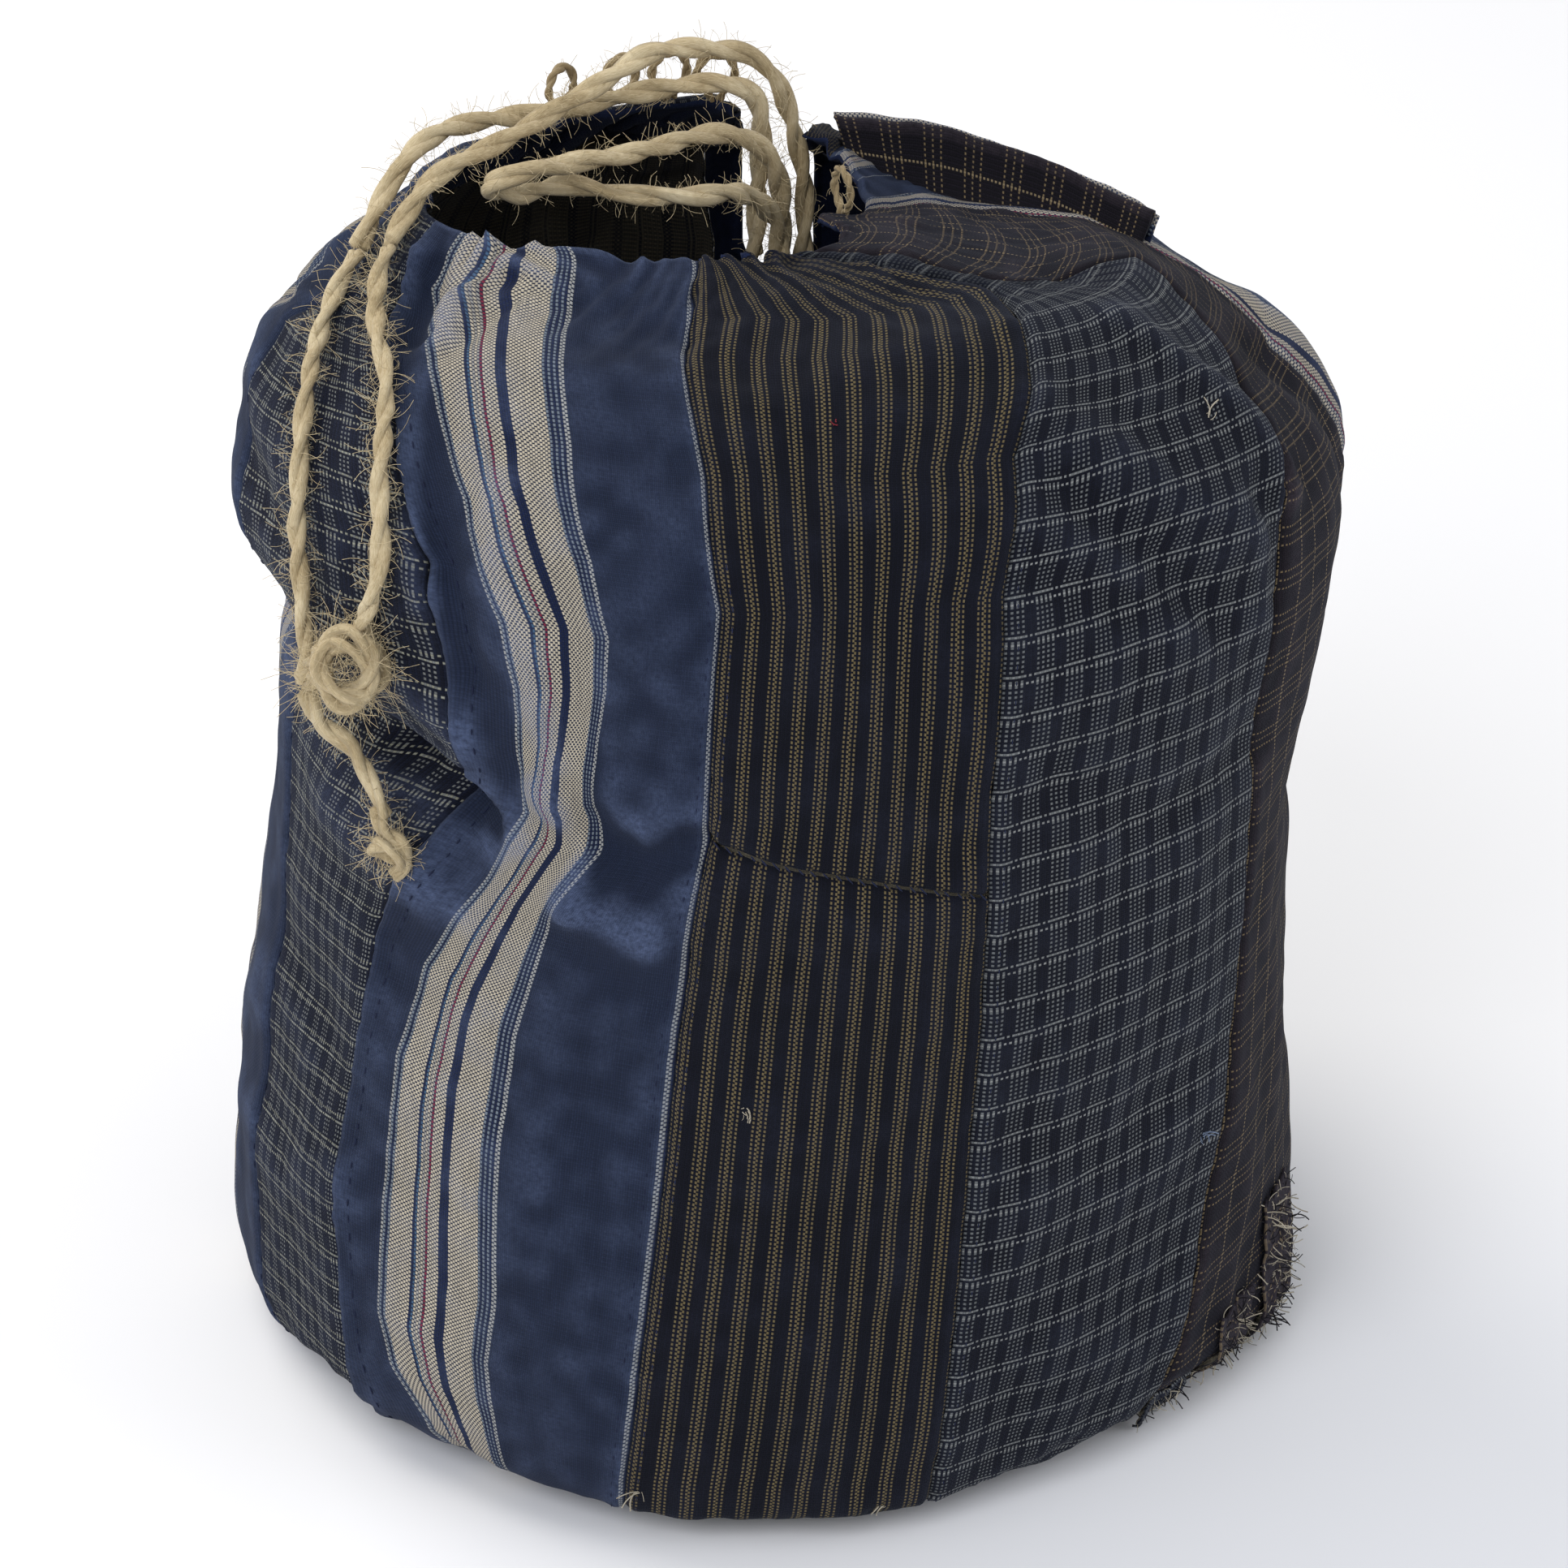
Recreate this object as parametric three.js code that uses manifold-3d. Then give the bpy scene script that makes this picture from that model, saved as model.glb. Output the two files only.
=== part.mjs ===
// Drawstring sack pieced from striped and checked cotton, standing full on its round base.
// Millimetres, +Z up, the front of the sack faces -Y, origin at the centre of the base.
import * as THREE from 'three';
import Module from 'manifold-3d';
import { mergeVertices } from 'three/addons/utils/BufferGeometryUtils.js';

const wasm = await Module();
wasm.setup();

// ---- driving sizes ----
const WIDTH_SCALE = 1;          // girth of the sack against the sections below
const HEIGHT_SCALE = 1;         // height of the sack against the sections below
const WALL = 2;                 // thickness of one pieced outer panel
const LINING = 1;               // thickness of the lining and of the mouth facing
const GAP = 0.3;                // clearance between touching cloths
const SEAM_GAP = 0.6;           // clearance between the edges of two panels
const HEM_EASE = 2.2;           // clearance of the hem from the edge that it finishes
const LINING_EASE = 2.5;        // how far the slack lining hangs inside the panels
const FACING_EASE = 1.8;        // the same for the facing round the mouth
const BASE_THICKNESS = 2;       // round bottom cloth
const HEM = 4;                  // diameter of the rolled hem round the mouth
const ROPE = 7;                 // diameter of the hemp drawstring
const LOOP_ROPE = 3;            // diameter of the cord of the becket loops
const LOOP = 15;                // outer width of a becket loop
const LIP_LEFT = -60;           // the front lip of the mouth, cut between these two sides
const LIP_RIGHT = 52;
const LIP_FRONT = -105;         // its fold line
const LIP_BACK = -5;
const SLIT = 22;                // width of the slit at the back of the mouth
const FLAP = 1.2;               // thickness of each cloth of the flap

// Sections from the base to the mouth: radius and height at eight compass points,
// front, front right, right, back right, back, back left, left and front left.
const SECTIONS = [
  { r: [150, 138, 146, 138, 146, 140, 150, 146], z: 0 },
  { r: [163, 152, 157, 151, 156, 152, 162, 158], z: 6 },
  { r: [172, 160, 163, 157, 162, 158, 170, 167], z: 24 },
  { r: [174, 162, 161, 158, 162, 160, 169, 167], z: 60 },
  { r: [170, 162, 158, 158, 160, 159, 162, 162], z: 105 },
  { r: [167, 161, 158, 158, 158, 158, 157, 155], z: 150 },
  { r: [164, 161, 160, 158, 156, 156, 152, 150], z: 195 },
  { r: [160, 162, 166, 160, 153, 156, 154, 151], z: 240 },
  { r: [151, 160, 169, 162, 150, 157, 162, 156], z: [280, 282, 276, 278, 272, 276, 272, 282] },
  { r: [136, 147, 158, 148, 140, 148, 157, 146], z: [312, 314, 304, 304, 300, 306, 302, 314] },
  { r: [106, 116, 128, 124, 120, 124, 142, 119], z: [340, 341, 326, 326, 326, 334, 326, 340] },
  { r: [72, 74, 76, 76, 92, 100, 124, 92], z: [356, 355, 347, 343, 347, 354, 345, 356] },
  { r: [44, 30, 15, 40, 60, 78, 107, 70], z: [362, 360, 357, 350, 364, 368, 361, 364] },
];
const RIM = SECTIONS.length - 1;

// Seams between the panels: compass angle in degrees, 0 at the front and 90 at +X, at section levels.
const SEAM_LEVELS = [0, 2, 4, 5.5, 7, 8.5, 9.5, 10.5, 11, 11.5, RIM];
const SEAMS = {
  farLeft: [-64, -70, -72, -74, -76, -80, -84, -88, -90, -92, -94],
  left: [-45, -50, -53, -50, -36, -40, -52, -68, -72, -76, -78],
  frontLeft: [-17, -15, -12, -10, -7, -6, -9, -16, -18, -21, -24],
  frontRight: [15, 16, 19, 21, 22, 25, 31, 46, 56, 36, 10],
  right: [42, 46, 57, 60, 60, 64, 72, 92, 64, 45, 18],
  farRight: [92, 94, 96, 98, 97, 92, 90, 115, 126, 128, 128],
  backRight: [144, 144, 144, 144, 145, 147, 152, 160, 160, 160, 160],
  back: [188, 188, 188, 188, 188, 188, 190, 192, 193, 194, 194],
  backLeft: [231, 231, 231, 231, 231, 231, 231, 230, 230, 230, 230],
};

const CLOTHS = {
  indigoStripe: 0x2b3a63,
  pinstripe: 0x1c2136,
  windowpane: 0x232a45,
  slubCheck: 0x23283a,
  plaid: 0x241f26,
  navy: 0x1c2540,
  cotton: 0xcfc8b4,
};
const clothMaterial = (name) => new THREE.MeshStandardMaterial({ color: CLOTHS[name], roughness: 0.95 });
const hempMaterial = new THREE.MeshStandardMaterial({ color: 0xb5a27c, roughness: 0.9 });

// ---- the shape of the full sack ----
const radians = THREE.MathUtils.degToRad;

function spline(a, b, c, d, t) {
  const straight = (c - a) * t;
  const square = (2 * a - 5 * b + 4 * c - d) * t * t;
  const cube = (3 * b - a - 3 * c + d) * t * t * t;
  return 0.5 * (2 * b + straight + square + cube);
}

function roundTheCompass(values, angle) {
  if (!Array.isArray(values)) return values;
  const count = values.length;
  const turn = (((angle / 360) * count) % count + count) % count;
  const i = Math.floor(turn);
  const at = (k) => values[(i + k + count) % count];
  return spline(at(-1), at(0), at(1), at(2), turn - i);
}

// A point of the outer surface at a compass angle and a section level.
function surfacePoint(angle, level) {
  const i = Math.min(Math.floor(level), RIM - 1);
  const section = (k) => SECTIONS[Math.max(0, Math.min(RIM, i + k))];
  const between = (key) => {
    const value = (k) => roundTheCompass(section(k)[key], angle);
    return spline(value(-1), value(0), value(1), value(2), level - i);
  };
  const r = between('r') * WIDTH_SCALE;
  const a = radians(angle);
  return new THREE.Vector3(r * Math.sin(a), -r * Math.cos(a), between('z') * HEIGHT_SCALE);
}

function surfaceNormal(angle, level) {
  const low = Math.max(0, level - 0.05);
  const high = Math.min(RIM, level + 0.05);
  const round = surfacePoint(angle + 1, level).sub(surfacePoint(angle - 1, level));
  const up = surfacePoint(angle, high).sub(surfacePoint(angle, low));
  return round.cross(up).normalize();
}

const beneath = (angle, level, depth) =>
  surfacePoint(angle, level).addScaledVector(surfaceNormal(angle, level), -depth);

// Angle of a seam at a level, straight between the levels where it is given.
function seamAngle(name, level) {
  const angles = SEAMS[name];
  let i = 0;
  while (i < SEAM_LEVELS.length - 2 && level > SEAM_LEVELS[i + 1]) i += 1;
  const t = (level - SEAM_LEVELS[i]) / (SEAM_LEVELS[i + 1] - SEAM_LEVELS[i]);
  return THREE.MathUtils.lerp(angles[i], angles[i + 1], t);
}

// ---- closed solids ----
// Two grids of points, outer and inner, joined round their border into one closed body.
function closedPatch(outer, inner) {
  const rows = outer.length;
  const columns = outer[0].length;
  const positions = [...outer.flat(), ...inner.flat()].flatMap((p) => [p.x, p.y, p.z]);
  const indices = [];
  const quad = (a, b, c, d) => indices.push(a, b, c, a, c, d);
  const out = (i, j) => i * columns + j;
  const inn = (i, j) => rows * columns + i * columns + j;
  for (let i = 0; i < rows - 1; i += 1) {
    for (let j = 0; j < columns - 1; j += 1) {
      quad(out(i, j), out(i, j + 1), out(i + 1, j + 1), out(i + 1, j));
      quad(inn(i, j), inn(i + 1, j), inn(i + 1, j + 1), inn(i, j + 1));
    }
  }
  for (let j = 0; j < columns - 1; j += 1) {
    quad(out(0, j + 1), out(0, j), inn(0, j), inn(0, j + 1));
    quad(out(rows - 1, j), out(rows - 1, j + 1), inn(rows - 1, j + 1), inn(rows - 1, j));
  }
  for (let i = 0; i < rows - 1; i += 1) {
    quad(out(i, 0), out(i + 1, 0), inn(i + 1, 0), inn(i, 0));
    quad(out(i + 1, columns - 1), out(i, columns - 1), inn(i, columns - 1), inn(i + 1, columns - 1));
  }
  const geometry = new THREE.BufferGeometry();
  geometry.setAttribute('position', new THREE.Float32BufferAttribute(positions, 3));
  geometry.setIndex(indices);
  return geometry;
}

const steps = (count) => Array.from({ length: count + 1 }, (_, i) => i / count);

const levelsBetween = (low, high, count) => steps(count).map((v) => THREE.MathUtils.lerp(low, high, v));

// Half the clearance of a seam, as an angle at the girth of that level.
function halfSeam(angle, level) {
  const radius = surfacePoint(angle, level).setZ(0).length();
  return THREE.MathUtils.radToDeg(SEAM_GAP / 2 / radius);
}

// Cloth between two edges, over a list of levels, at a depth under the outer surface.
function clothPatch(leftEdge, rightEdge, levels, depth, thickness, across) {
  const grid = (d) => levels.map((level) => {
    const left = leftEdge(level) + halfSeam(leftEdge(level), level);
    const right = rightEdge(level) - halfSeam(rightEdge(level), level);
    return steps(across).map((u) => beneath(THREE.MathUtils.lerp(left, right, u), level, d));
  });
  return closedPatch(grid(depth), grid(depth + thickness));
}

// A skin that goes all the way round, closed into a ring.
function clothRing(low, high, depth, thickness, across, along) {
  const columns = steps(across).slice(0, -1).map((u) => u * 360);
  const levels = levelsBetween(low, high, along);
  const outer = levels.map((level) => columns.map((angle) => beneath(angle, level, depth)));
  const inner = levels.map((level) => columns.map((angle) => beneath(angle, level, depth + thickness)));
  const loop = [...outer, ...inner.reverse()];
  const positions = loop.flat().flatMap((p) => [p.x, p.y, p.z]);
  const indices = [];
  const at = (i, j) => (i % loop.length) * across + (j % across);
  for (let i = 0; i < loop.length; i += 1) {
    for (let j = 0; j < across; j += 1) {
      indices.push(at(i, j), at(i, j + 1), at(i + 1, j + 1));
      indices.push(at(i, j), at(i + 1, j + 1), at(i + 1, j));
    }
  }
  const geometry = new THREE.BufferGeometry();
  geometry.setAttribute('position', new THREE.Float32BufferAttribute(positions, 3));
  geometry.setIndex(indices);
  return geometry;
}

// A disc with the outline of the base, a little inside the wall.
function baseDisc(inset, bottom, thickness, count) {
  const outline = steps(count).slice(0, -1).map((u) => {
    const point = surfacePoint(u * 360, 0);
    const r = point.length() - inset;
    return new THREE.Vector2(r * Math.sin(radians(u * 360)), -r * Math.cos(radians(u * 360)));
  });
  const disc = new THREE.ExtrudeGeometry(new THREE.Shape(outline), { depth: thickness, bevelEnabled: false });
  return disc.translate(0, 0, bottom);
}

const curveThrough = (points) =>
  new THREE.CatmullRomCurve3(points.map((p) => new THREE.Vector3(...p)), false, 'centripetal');

function circle(radius, sides) {
  return new THREE.Shape(steps(sides).slice(0, -1).map((u) => new THREE.Vector2(
    radius * Math.cos(u * 2 * Math.PI),
    radius * Math.sin(u * 2 * Math.PI),
  )));
}

function tube(points, diameter, sides, count) {
  const section = circle(diameter / 2, sides);
  return new THREE.ExtrudeGeometry(section, { steps: count, extrudePath: curveThrough(points) });
}

function blob(centre, size, detail) {
  return new THREE.SphereGeometry(0.5, detail, detail).scale(...size).translate(...centre);
}

// ---- cutting ----
function toSolid(geometry) {
  const bare = geometry.clone();
  bare.deleteAttribute('normal');
  bare.deleteAttribute('uv');
  const merged = mergeVertices(bare, 1e-4);
  return new wasm.Manifold(new wasm.Mesh({
    numProp: 3,
    vertProperties: new Float32Array(merged.attributes.position.array),
    triVerts: new Uint32Array(merged.index.array),
  }));
}

function toGeometry(solid) {
  const mesh = solid.getMesh();
  const geometry = new THREE.BufferGeometry();
  geometry.setAttribute('position', new THREE.Float32BufferAttribute(mesh.vertProperties, 3));
  geometry.setIndex(Array.from(mesh.triVerts));
  return geometry;
}

// The separate bodies of a solid, from left to right.
function bodiesOf(geometry) {
  const middle = (solid) => (solid.boundingBox().min[0] + solid.boundingBox().max[0]) / 2;
  const parts = toSolid(geometry).decompose();
  return parts.sort((a, b) => middle(a) - middle(b)).map(toGeometry);
}

const cut = (geometry, tool) => toGeometry(toSolid(geometry).subtract(toSolid(tool)));
const within = (geometry, tool) => toGeometry(toSolid(geometry).intersect(toSolid(tool)));

// The space of the lip, which is what folds out when the mouth opens.
function lipSpace(grow) {
  const height = SECTIONS[RIM - 1].z[0] * HEIGHT_SCALE;
  const width = (LIP_RIGHT - LIP_LEFT) * WIDTH_SCALE;
  const depth = (LIP_BACK - LIP_FRONT) * WIDTH_SCALE;
  const size = [width + 2 * grow, depth + 2 * grow, height];
  const middle = [(LIP_LEFT + LIP_RIGHT) / 2, (LIP_FRONT + LIP_BACK) / 2];
  const centre = [middle[0] * WIDTH_SCALE, middle[1] * WIDTH_SCALE, height];
  return new THREE.BoxGeometry(...size).translate(...centre);
}

// The slit at the back of the mouth, deeper towards the shoulder where the cloth slumps:
// its outline from the side, as distance behind the centre and height.
const SLIT_OUTLINE = [[20, 318], [60, 308], [100, 290], [170, 256], [170, 420], [20, 420]];

function slitSpace() {
  const shape = new THREE.Shape(SLIT_OUTLINE.map(([y, z]) => new THREE.Vector2(y * WIDTH_SCALE, z * HEIGHT_SCALE)));
  const wedge = new THREE.ExtrudeGeometry(shape, { depth: SLIT, bevelEnabled: false });
  return wedge.rotateX(Math.PI / 2).rotateZ(Math.PI / 2).translate(-SLIT / 2, 0, 0);
}

// ---- the object ----
const sack = new THREE.Group();

function add(name, geometry, material) {
  const mesh = new THREE.Mesh(geometry, material);
  mesh.name = name;
  sack.add(mesh);
}

// Round bottom: the outer cloth on the floor and the lining on it.
const BASE_EASE = 4;            // how far the turned-in bottom of the wall stands from the base
const baseInset = WALL + GAP + BASE_EASE;
add('base_cloth', baseDisc(baseInset, 0, BASE_THICKNESS, 48), clothMaterial('navy'));
add('base_lining', baseDisc(baseInset + LINING, BASE_THICKNESS + GAP, LINING, 48), clothMaterial('cotton'));

// Pieced wall: one panel from floor to mouth for each cloth, cut where the lip and the slit are.
const edgeAt = (name, turn = 0) => (level) => seamAngle(name, level) + turn;
const PANELS = [
  { name: 'panel_slub_check', cloth: 'slubCheck', left: edgeAt('farLeft'), right: edgeAt('left') },
  { name: 'panel_indigo_stripe', cloth: 'indigoStripe', left: edgeAt('left'), right: edgeAt('frontLeft'), lip: 'lip_indigo_stripe' },
  { name: 'panel_pinstripe', cloth: 'pinstripe', left: edgeAt('frontLeft'), right: edgeAt('frontRight'), lip: 'lip_pinstripe', pieced: true },
  { name: 'panel_windowpane', cloth: 'windowpane', left: edgeAt('frontRight'), right: edgeAt('right'), lip: 'lip_windowpane' },
  { name: 'panel_plaid', cloth: 'plaid', left: edgeAt('right'), right: edgeAt('farRight'), lip: 'lip_plaid', across: 12 },
  { name: 'panel_side_stripe', cloth: 'indigoStripe', left: edgeAt('farRight'), right: edgeAt('backRight') },
  { name: 'panel_back_pinstripe', cloth: 'pinstripe', left: edgeAt('backRight'), right: edgeAt('back'), slit: true },
  { name: 'panel_back_windowpane', cloth: 'windowpane', left: edgeAt('back'), right: edgeAt('backLeft') },
  { name: 'panel_left_stripe', cloth: 'indigoStripe', left: edgeAt('backLeft'), right: edgeAt('farLeft', 360) },
];
const ACROSS = 6;
const ALONG = 20;
const PIECED_AT = 11;           // the cross seam of the front pinstripe, in steps from the floor
const PANEL_LEVELS = levelsBetween(0, RIM, ALONG);
const CROSS_SEAM = 0.01;        // half its clearance, in levels

for (const panel of PANELS) {
  const { name, cloth, left, right, across = ACROSS } = panel;
  const material = clothMaterial(cloth);
  let levels = PANEL_LEVELS;
  if (panel.pieced) {
    const seam = PANEL_LEVELS[PIECED_AT];
    const lowerLevels = [...PANEL_LEVELS.slice(0, PIECED_AT), seam - CROSS_SEAM];
    add(`${name}_lower`, clothPatch(left, right, lowerLevels, 0, WALL, across), material);
    levels = [seam + CROSS_SEAM, ...PANEL_LEVELS.slice(PIECED_AT + 1)];
  }
  let wall = clothPatch(left, right, levels, 0, WALL, across);
  if (panel.lip) {
    add(panel.lip, within(wall, lipSpace(0)), material);
    wall = cut(wall, lipSpace(GAP));
  }
  if (panel.slit) wall = cut(wall, slitSpace());
  add(panel.pieced ? `${name}_upper` : name, wall, material);
}

// Lining of the wall, and the facing that backs the cloth round the mouth.
const LINING_LEVEL = 1.3;
const SHOULDER_LEVEL = 8;
const FACING_LEVEL = 10.6;
add('wall_lining', clothRing(LINING_LEVEL, SHOULDER_LEVEL, WALL + LINING_EASE, LINING, 36, 8), clothMaterial('cotton'));
const facing = clothRing(FACING_LEVEL, RIM, WALL + FACING_EASE, LINING, 45, 4);
const [facingLeft, facingRight] = bodiesOf(cut(cut(facing, lipSpace(GAP)), slitSpace()));
add('mouth_facing_left', facingLeft, clothMaterial('navy'));
add('mouth_facing_right', facingRight, clothMaterial('navy'));
add('lip_facing', within(facing, lipSpace(0)), clothMaterial('navy'));

// Rolled hem on the edge of the mouth.
function hemPoint(angle) {
  const edge = surfacePoint(angle, RIM);
  const inward = edge.clone().sub(surfacePoint(angle, RIM - 0.1)).normalize();
  const middle = beneath(angle, RIM, (WALL + LINING + FACING_EASE) / 2);
  return middle.addScaledVector(inward, HEM / 2 + HEM_EASE);
}
const hemPoints = steps(40).map((u) => hemPoint(180 + u * 360).toArray());
const hem = tube(hemPoints, HEM, 8, 60);
const [hemLeft, hemRight] = bodiesOf(cut(cut(hem, lipSpace(GAP)), slitSpace()));
add('mouth_hem_left', hemLeft, clothMaterial('navy'));
add('mouth_hem_right', hemRight, clothMaterial('navy'));
add('lip_hem', within(hem, lipSpace(0)), clothMaterial('navy'));

// Becket loops: small cord loops that stand on the hem, one in front of the flap and four at the back.
const LOOP_ENDS = [-60, 240];   // its two ends are sewn down side by side
const LOOP_ANGLES = [112, 197, 209, 221, 234];
LOOP_ANGLES.forEach((angle, i) => {
  const centre = hemPoint(angle).add(new THREE.Vector3(0, 0, HEM / 2 + 4 * GAP + LOOP / 2));
  const ring = steps(14).map((u) => {
    const turn = radians(THREE.MathUtils.lerp(...LOOP_ENDS, u));
    const side = (LOOP - LOOP_ROPE) / 2 * Math.cos(turn);
    const rise = (LOOP - LOOP_ROPE) / 2 * Math.sin(turn);
    const a = radians(angle);
    return [centre.x + side * Math.cos(a), centre.y + side * Math.sin(a), centre.z + rise];
  });
  add(`becket_loop_${i + 1}`, tube(ring, LOOP_ROPE, 6, 14), hempMaterial);
});

// Flap: the loose plaid end of the collar that stands behind the mouth on the right, with its
// striped backing and the roll of its raw edge. Foot and top are two lines along it.
const FLAP_FOOT = [[20, 50, 357], [52, 51, 351], [80, 50, 343], [98, 44, 338], [110, 36, 335]];
const FLAP_TOP = [[18, 50, 364], [52, 54, 359], [80, 54, 349], [99, 47, 343], [112, 38, 339]];
const FLAP_ROWS = 2;
const FLAP_COLUMNS = 12;
const withTheSack = (points) => points.map(([x, y, z]) => [x * WIDTH_SCALE, y * WIDTH_SCALE, z * HEIGHT_SCALE]);

function flapPatch(depth, thickness) {
  const foot = curveThrough(withTheSack(FLAP_FOOT));
  const top = curveThrough(withTheSack(FLAP_TOP));
  const grid = (d) => steps(FLAP_ROWS).map((v) => steps(FLAP_COLUMNS).map((u) => {
    const low = foot.getPoint(u);
    const high = top.getPoint(u);
    const along = foot.getTangent(u);
    const face = along.cross(high.clone().sub(low)).normalize();
    return low.lerp(high, v).addScaledVector(face, -d);
  }));
  return closedPatch(grid(depth), grid(depth + thickness));
}
add('flap_plaid', flapPatch(0, FLAP), clothMaterial('plaid'));
add('flap_backing', flapPatch(FLAP + GAP, FLAP), clothMaterial('cotton'));
const flapEdge = withTheSack(FLAP_TOP).map(([x, y, z]) => [x, y + FLAP, z + HEM / 2 + 2 * GAP]);
add('flap_edge', tube(flapEdge, HEM, 8, 14), clothMaterial('plaid'));

// Drawstring: laid hemp rope. Its two strands come up out of the slit, lie over the back of the
// mouth and hang down the left of the front; a bight of it lies across the mouth.
const ROPE_SIDES = 8;
const ROUTES = {
  drawstring_over_front: [[8, 60, 318], [8, 62, 340], [4, 61, 362], [0, 55, 376], [-8, 49, 387],
    [-21, 42, 392], [-36, 37, 393], [-48, 32, 388], [-61, 25, 382], [-77, 9, 378],
    [-92, -2, 374], [-102, -11, 370], [-109, -18, 362], [-112, -25, 358]],
  drawstring_over_back: [[-7, 60, 318], [-6, 60, 340], [-5, 56, 362], [-8, 50, 375], [-18, 47, 379],
    [-31, 47, 378], [-45, 45, 376], [-58, 40, 375], [-71, 35, 374], [-85, 28, 375],
    [-98, 17, 376], [-107, 4, 374], [-116, -6, 363], [-122, -14, 352]],
  hanging_strand_front: [[-112.5, -27, 357], [-115, -37, 353], [-115, -54, 346], [-111, -77, 337],
    [-112, -102, 318], [-112, -114, 298], [-115, -114, 286]],
  hanging_strand_back: [[-122.5, -16, 351], [-128, -28, 345], [-134, -52, 332], [-137, -77, 308],
    [-137, -88, 286], [-136, -90, 262], [-136, -91, 249]],
  drawstring_bight: [[1, 57, 322], [1, 55, 340], [-4, 46, 358], [-18, 34, 368], [-38, 17, 370],
    [-61, 3, 371], [-74, -8, 373], [-84, -8, 369], [-77, -1, 363], [-61, 9, 362],
    [-47, 8, 360], [-26, 10, 358], [-14, 18, 356], [-7, 32, 348], [0, 47, 333], [1, 48, 318]],
  drawstring_tail: [[-136, -92, 246], [-132, -97, 239], [-123, -103, 234], [-117, -109, 226],
    [-113, -112, 216]],
};
const STEPS_PER_ROUTE = { drawstring_over_front: 20, drawstring_over_back: 18, hanging_strand_front: 10,
  hanging_strand_back: 10, drawstring_bight: 26, drawstring_tail: 6 };
for (const [name, route] of Object.entries(ROUTES)) {
  add(name, tube(route, ROPE, ROPE_SIDES, STEPS_PER_ROUTE[name]), hempMaterial);
}
add('drawstring_knot', blob([-120, -114, 264], [24, 13, 36], 12), hempMaterial);
add('drawstring_end_knot', blob([-112, -113, 206], [13, 12, 17], 10), hempMaterial);

// Frayed patches of the bottom seam at the right of the front, standing a little off the wall.
const FRAYS = [
  { name: 'frayed_patch_front', low: 46, high: 53, top: 1.6 },
  { name: 'frayed_patch_middle', low: 56, high: 64, top: 2.2 },
  { name: 'frayed_patch_side', low: 67, high: 75, top: 2.8 },
];
for (const { name, low, high, top } of FRAYS) {
  const patch = clothPatch(() => low, () => high, levelsBetween(0.8, top, 5), -FLAP - 4 * GAP, FLAP, 3);
  add(name, patch, clothMaterial('cotton'));
}

export default sack;
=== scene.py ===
import math

import bpy
import numpy as np
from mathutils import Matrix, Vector, noise


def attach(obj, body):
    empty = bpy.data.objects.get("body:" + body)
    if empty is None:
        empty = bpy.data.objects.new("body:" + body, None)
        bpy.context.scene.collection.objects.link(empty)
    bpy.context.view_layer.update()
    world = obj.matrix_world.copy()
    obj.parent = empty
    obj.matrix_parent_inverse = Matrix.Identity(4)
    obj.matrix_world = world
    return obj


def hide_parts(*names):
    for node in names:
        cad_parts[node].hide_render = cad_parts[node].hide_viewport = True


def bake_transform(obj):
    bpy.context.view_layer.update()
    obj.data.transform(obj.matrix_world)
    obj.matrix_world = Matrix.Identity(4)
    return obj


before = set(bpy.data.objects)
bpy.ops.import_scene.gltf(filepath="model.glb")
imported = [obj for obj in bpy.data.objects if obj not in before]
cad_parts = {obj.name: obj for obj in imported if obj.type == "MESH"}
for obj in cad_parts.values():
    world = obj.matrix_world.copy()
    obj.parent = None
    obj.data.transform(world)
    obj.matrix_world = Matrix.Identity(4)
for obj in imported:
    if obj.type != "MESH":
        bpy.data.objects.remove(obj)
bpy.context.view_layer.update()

mm = 0.001
scene = bpy.context.scene


# camera and light
print("camera, floor and light")
shot = {
    "elevation": 28.0,              # degrees above the horizon
    "distance": 1.9,                # metres from the middle of the sack
    "target": (0.002, 0.0, 0.167),
    "lens": 141.6,
}
lamps = {
    # name: place, size, watts, colour
    "windowBehind": ((-1.3, 1.1, 2.0), 2.0, 34, "#fffaf2"),
    "boxFront": ((-1.0, -2.1, 1.9), 2.0, 40, "#f6f8ff"),
    "boxRight": ((2.2, -0.7, 1.1), 1.6, 12, "#f6f8ff"),
}


def linear(hexColour, alpha=1.0):   # sRGB hex to the linear colour that shaders want
    parts = [int(hexColour[i:i + 2], 16) / 255 for i in (1, 3, 5)]
    return tuple(c / 12.92 if c <= 0.04045 else ((c + 0.055) / 1.055) ** 2.4 for c in parts) + (alpha,)


cameraData = bpy.data.cameras.new("camera")
cameraData.lens = shot["lens"]
cameraData.sensor_width = 36
camera = bpy.data.objects.new("camera", cameraData)
scene.collection.objects.link(camera)
tilt = math.radians(shot["elevation"])
camera.location = Vector(shot["target"]) + shot["distance"] * Vector((0, -math.cos(tilt), math.sin(tilt)))
camera.rotation_euler = (math.pi / 2 - tilt, 0, 0)
scene.camera = camera
scene.view_settings.view_transform = "Standard"

for name, (place, size, watts, tint) in lamps.items():
    lightData = bpy.data.lights.new(name, "AREA")
    lightData.shape = "DISK"
    lightData.size = size
    lightData.energy = watts
    lightData.color = linear(tint)[:3]
    light = bpy.data.objects.new(name, lightData)
    light.location = place
    light.rotation_euler = (Vector(shot["target"]) - Vector(place)).to_track_quat("-Z", "Y").to_euler()
    scene.collection.objects.link(light)

world = bpy.data.worlds.new("studio")
world.use_nodes = True
world.node_tree.nodes["Background"].inputs["Color"].default_value = linear("#f2f4f8")
world.node_tree.nodes["Background"].inputs["Strength"].default_value = 0.68
scene.world = world


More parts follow.
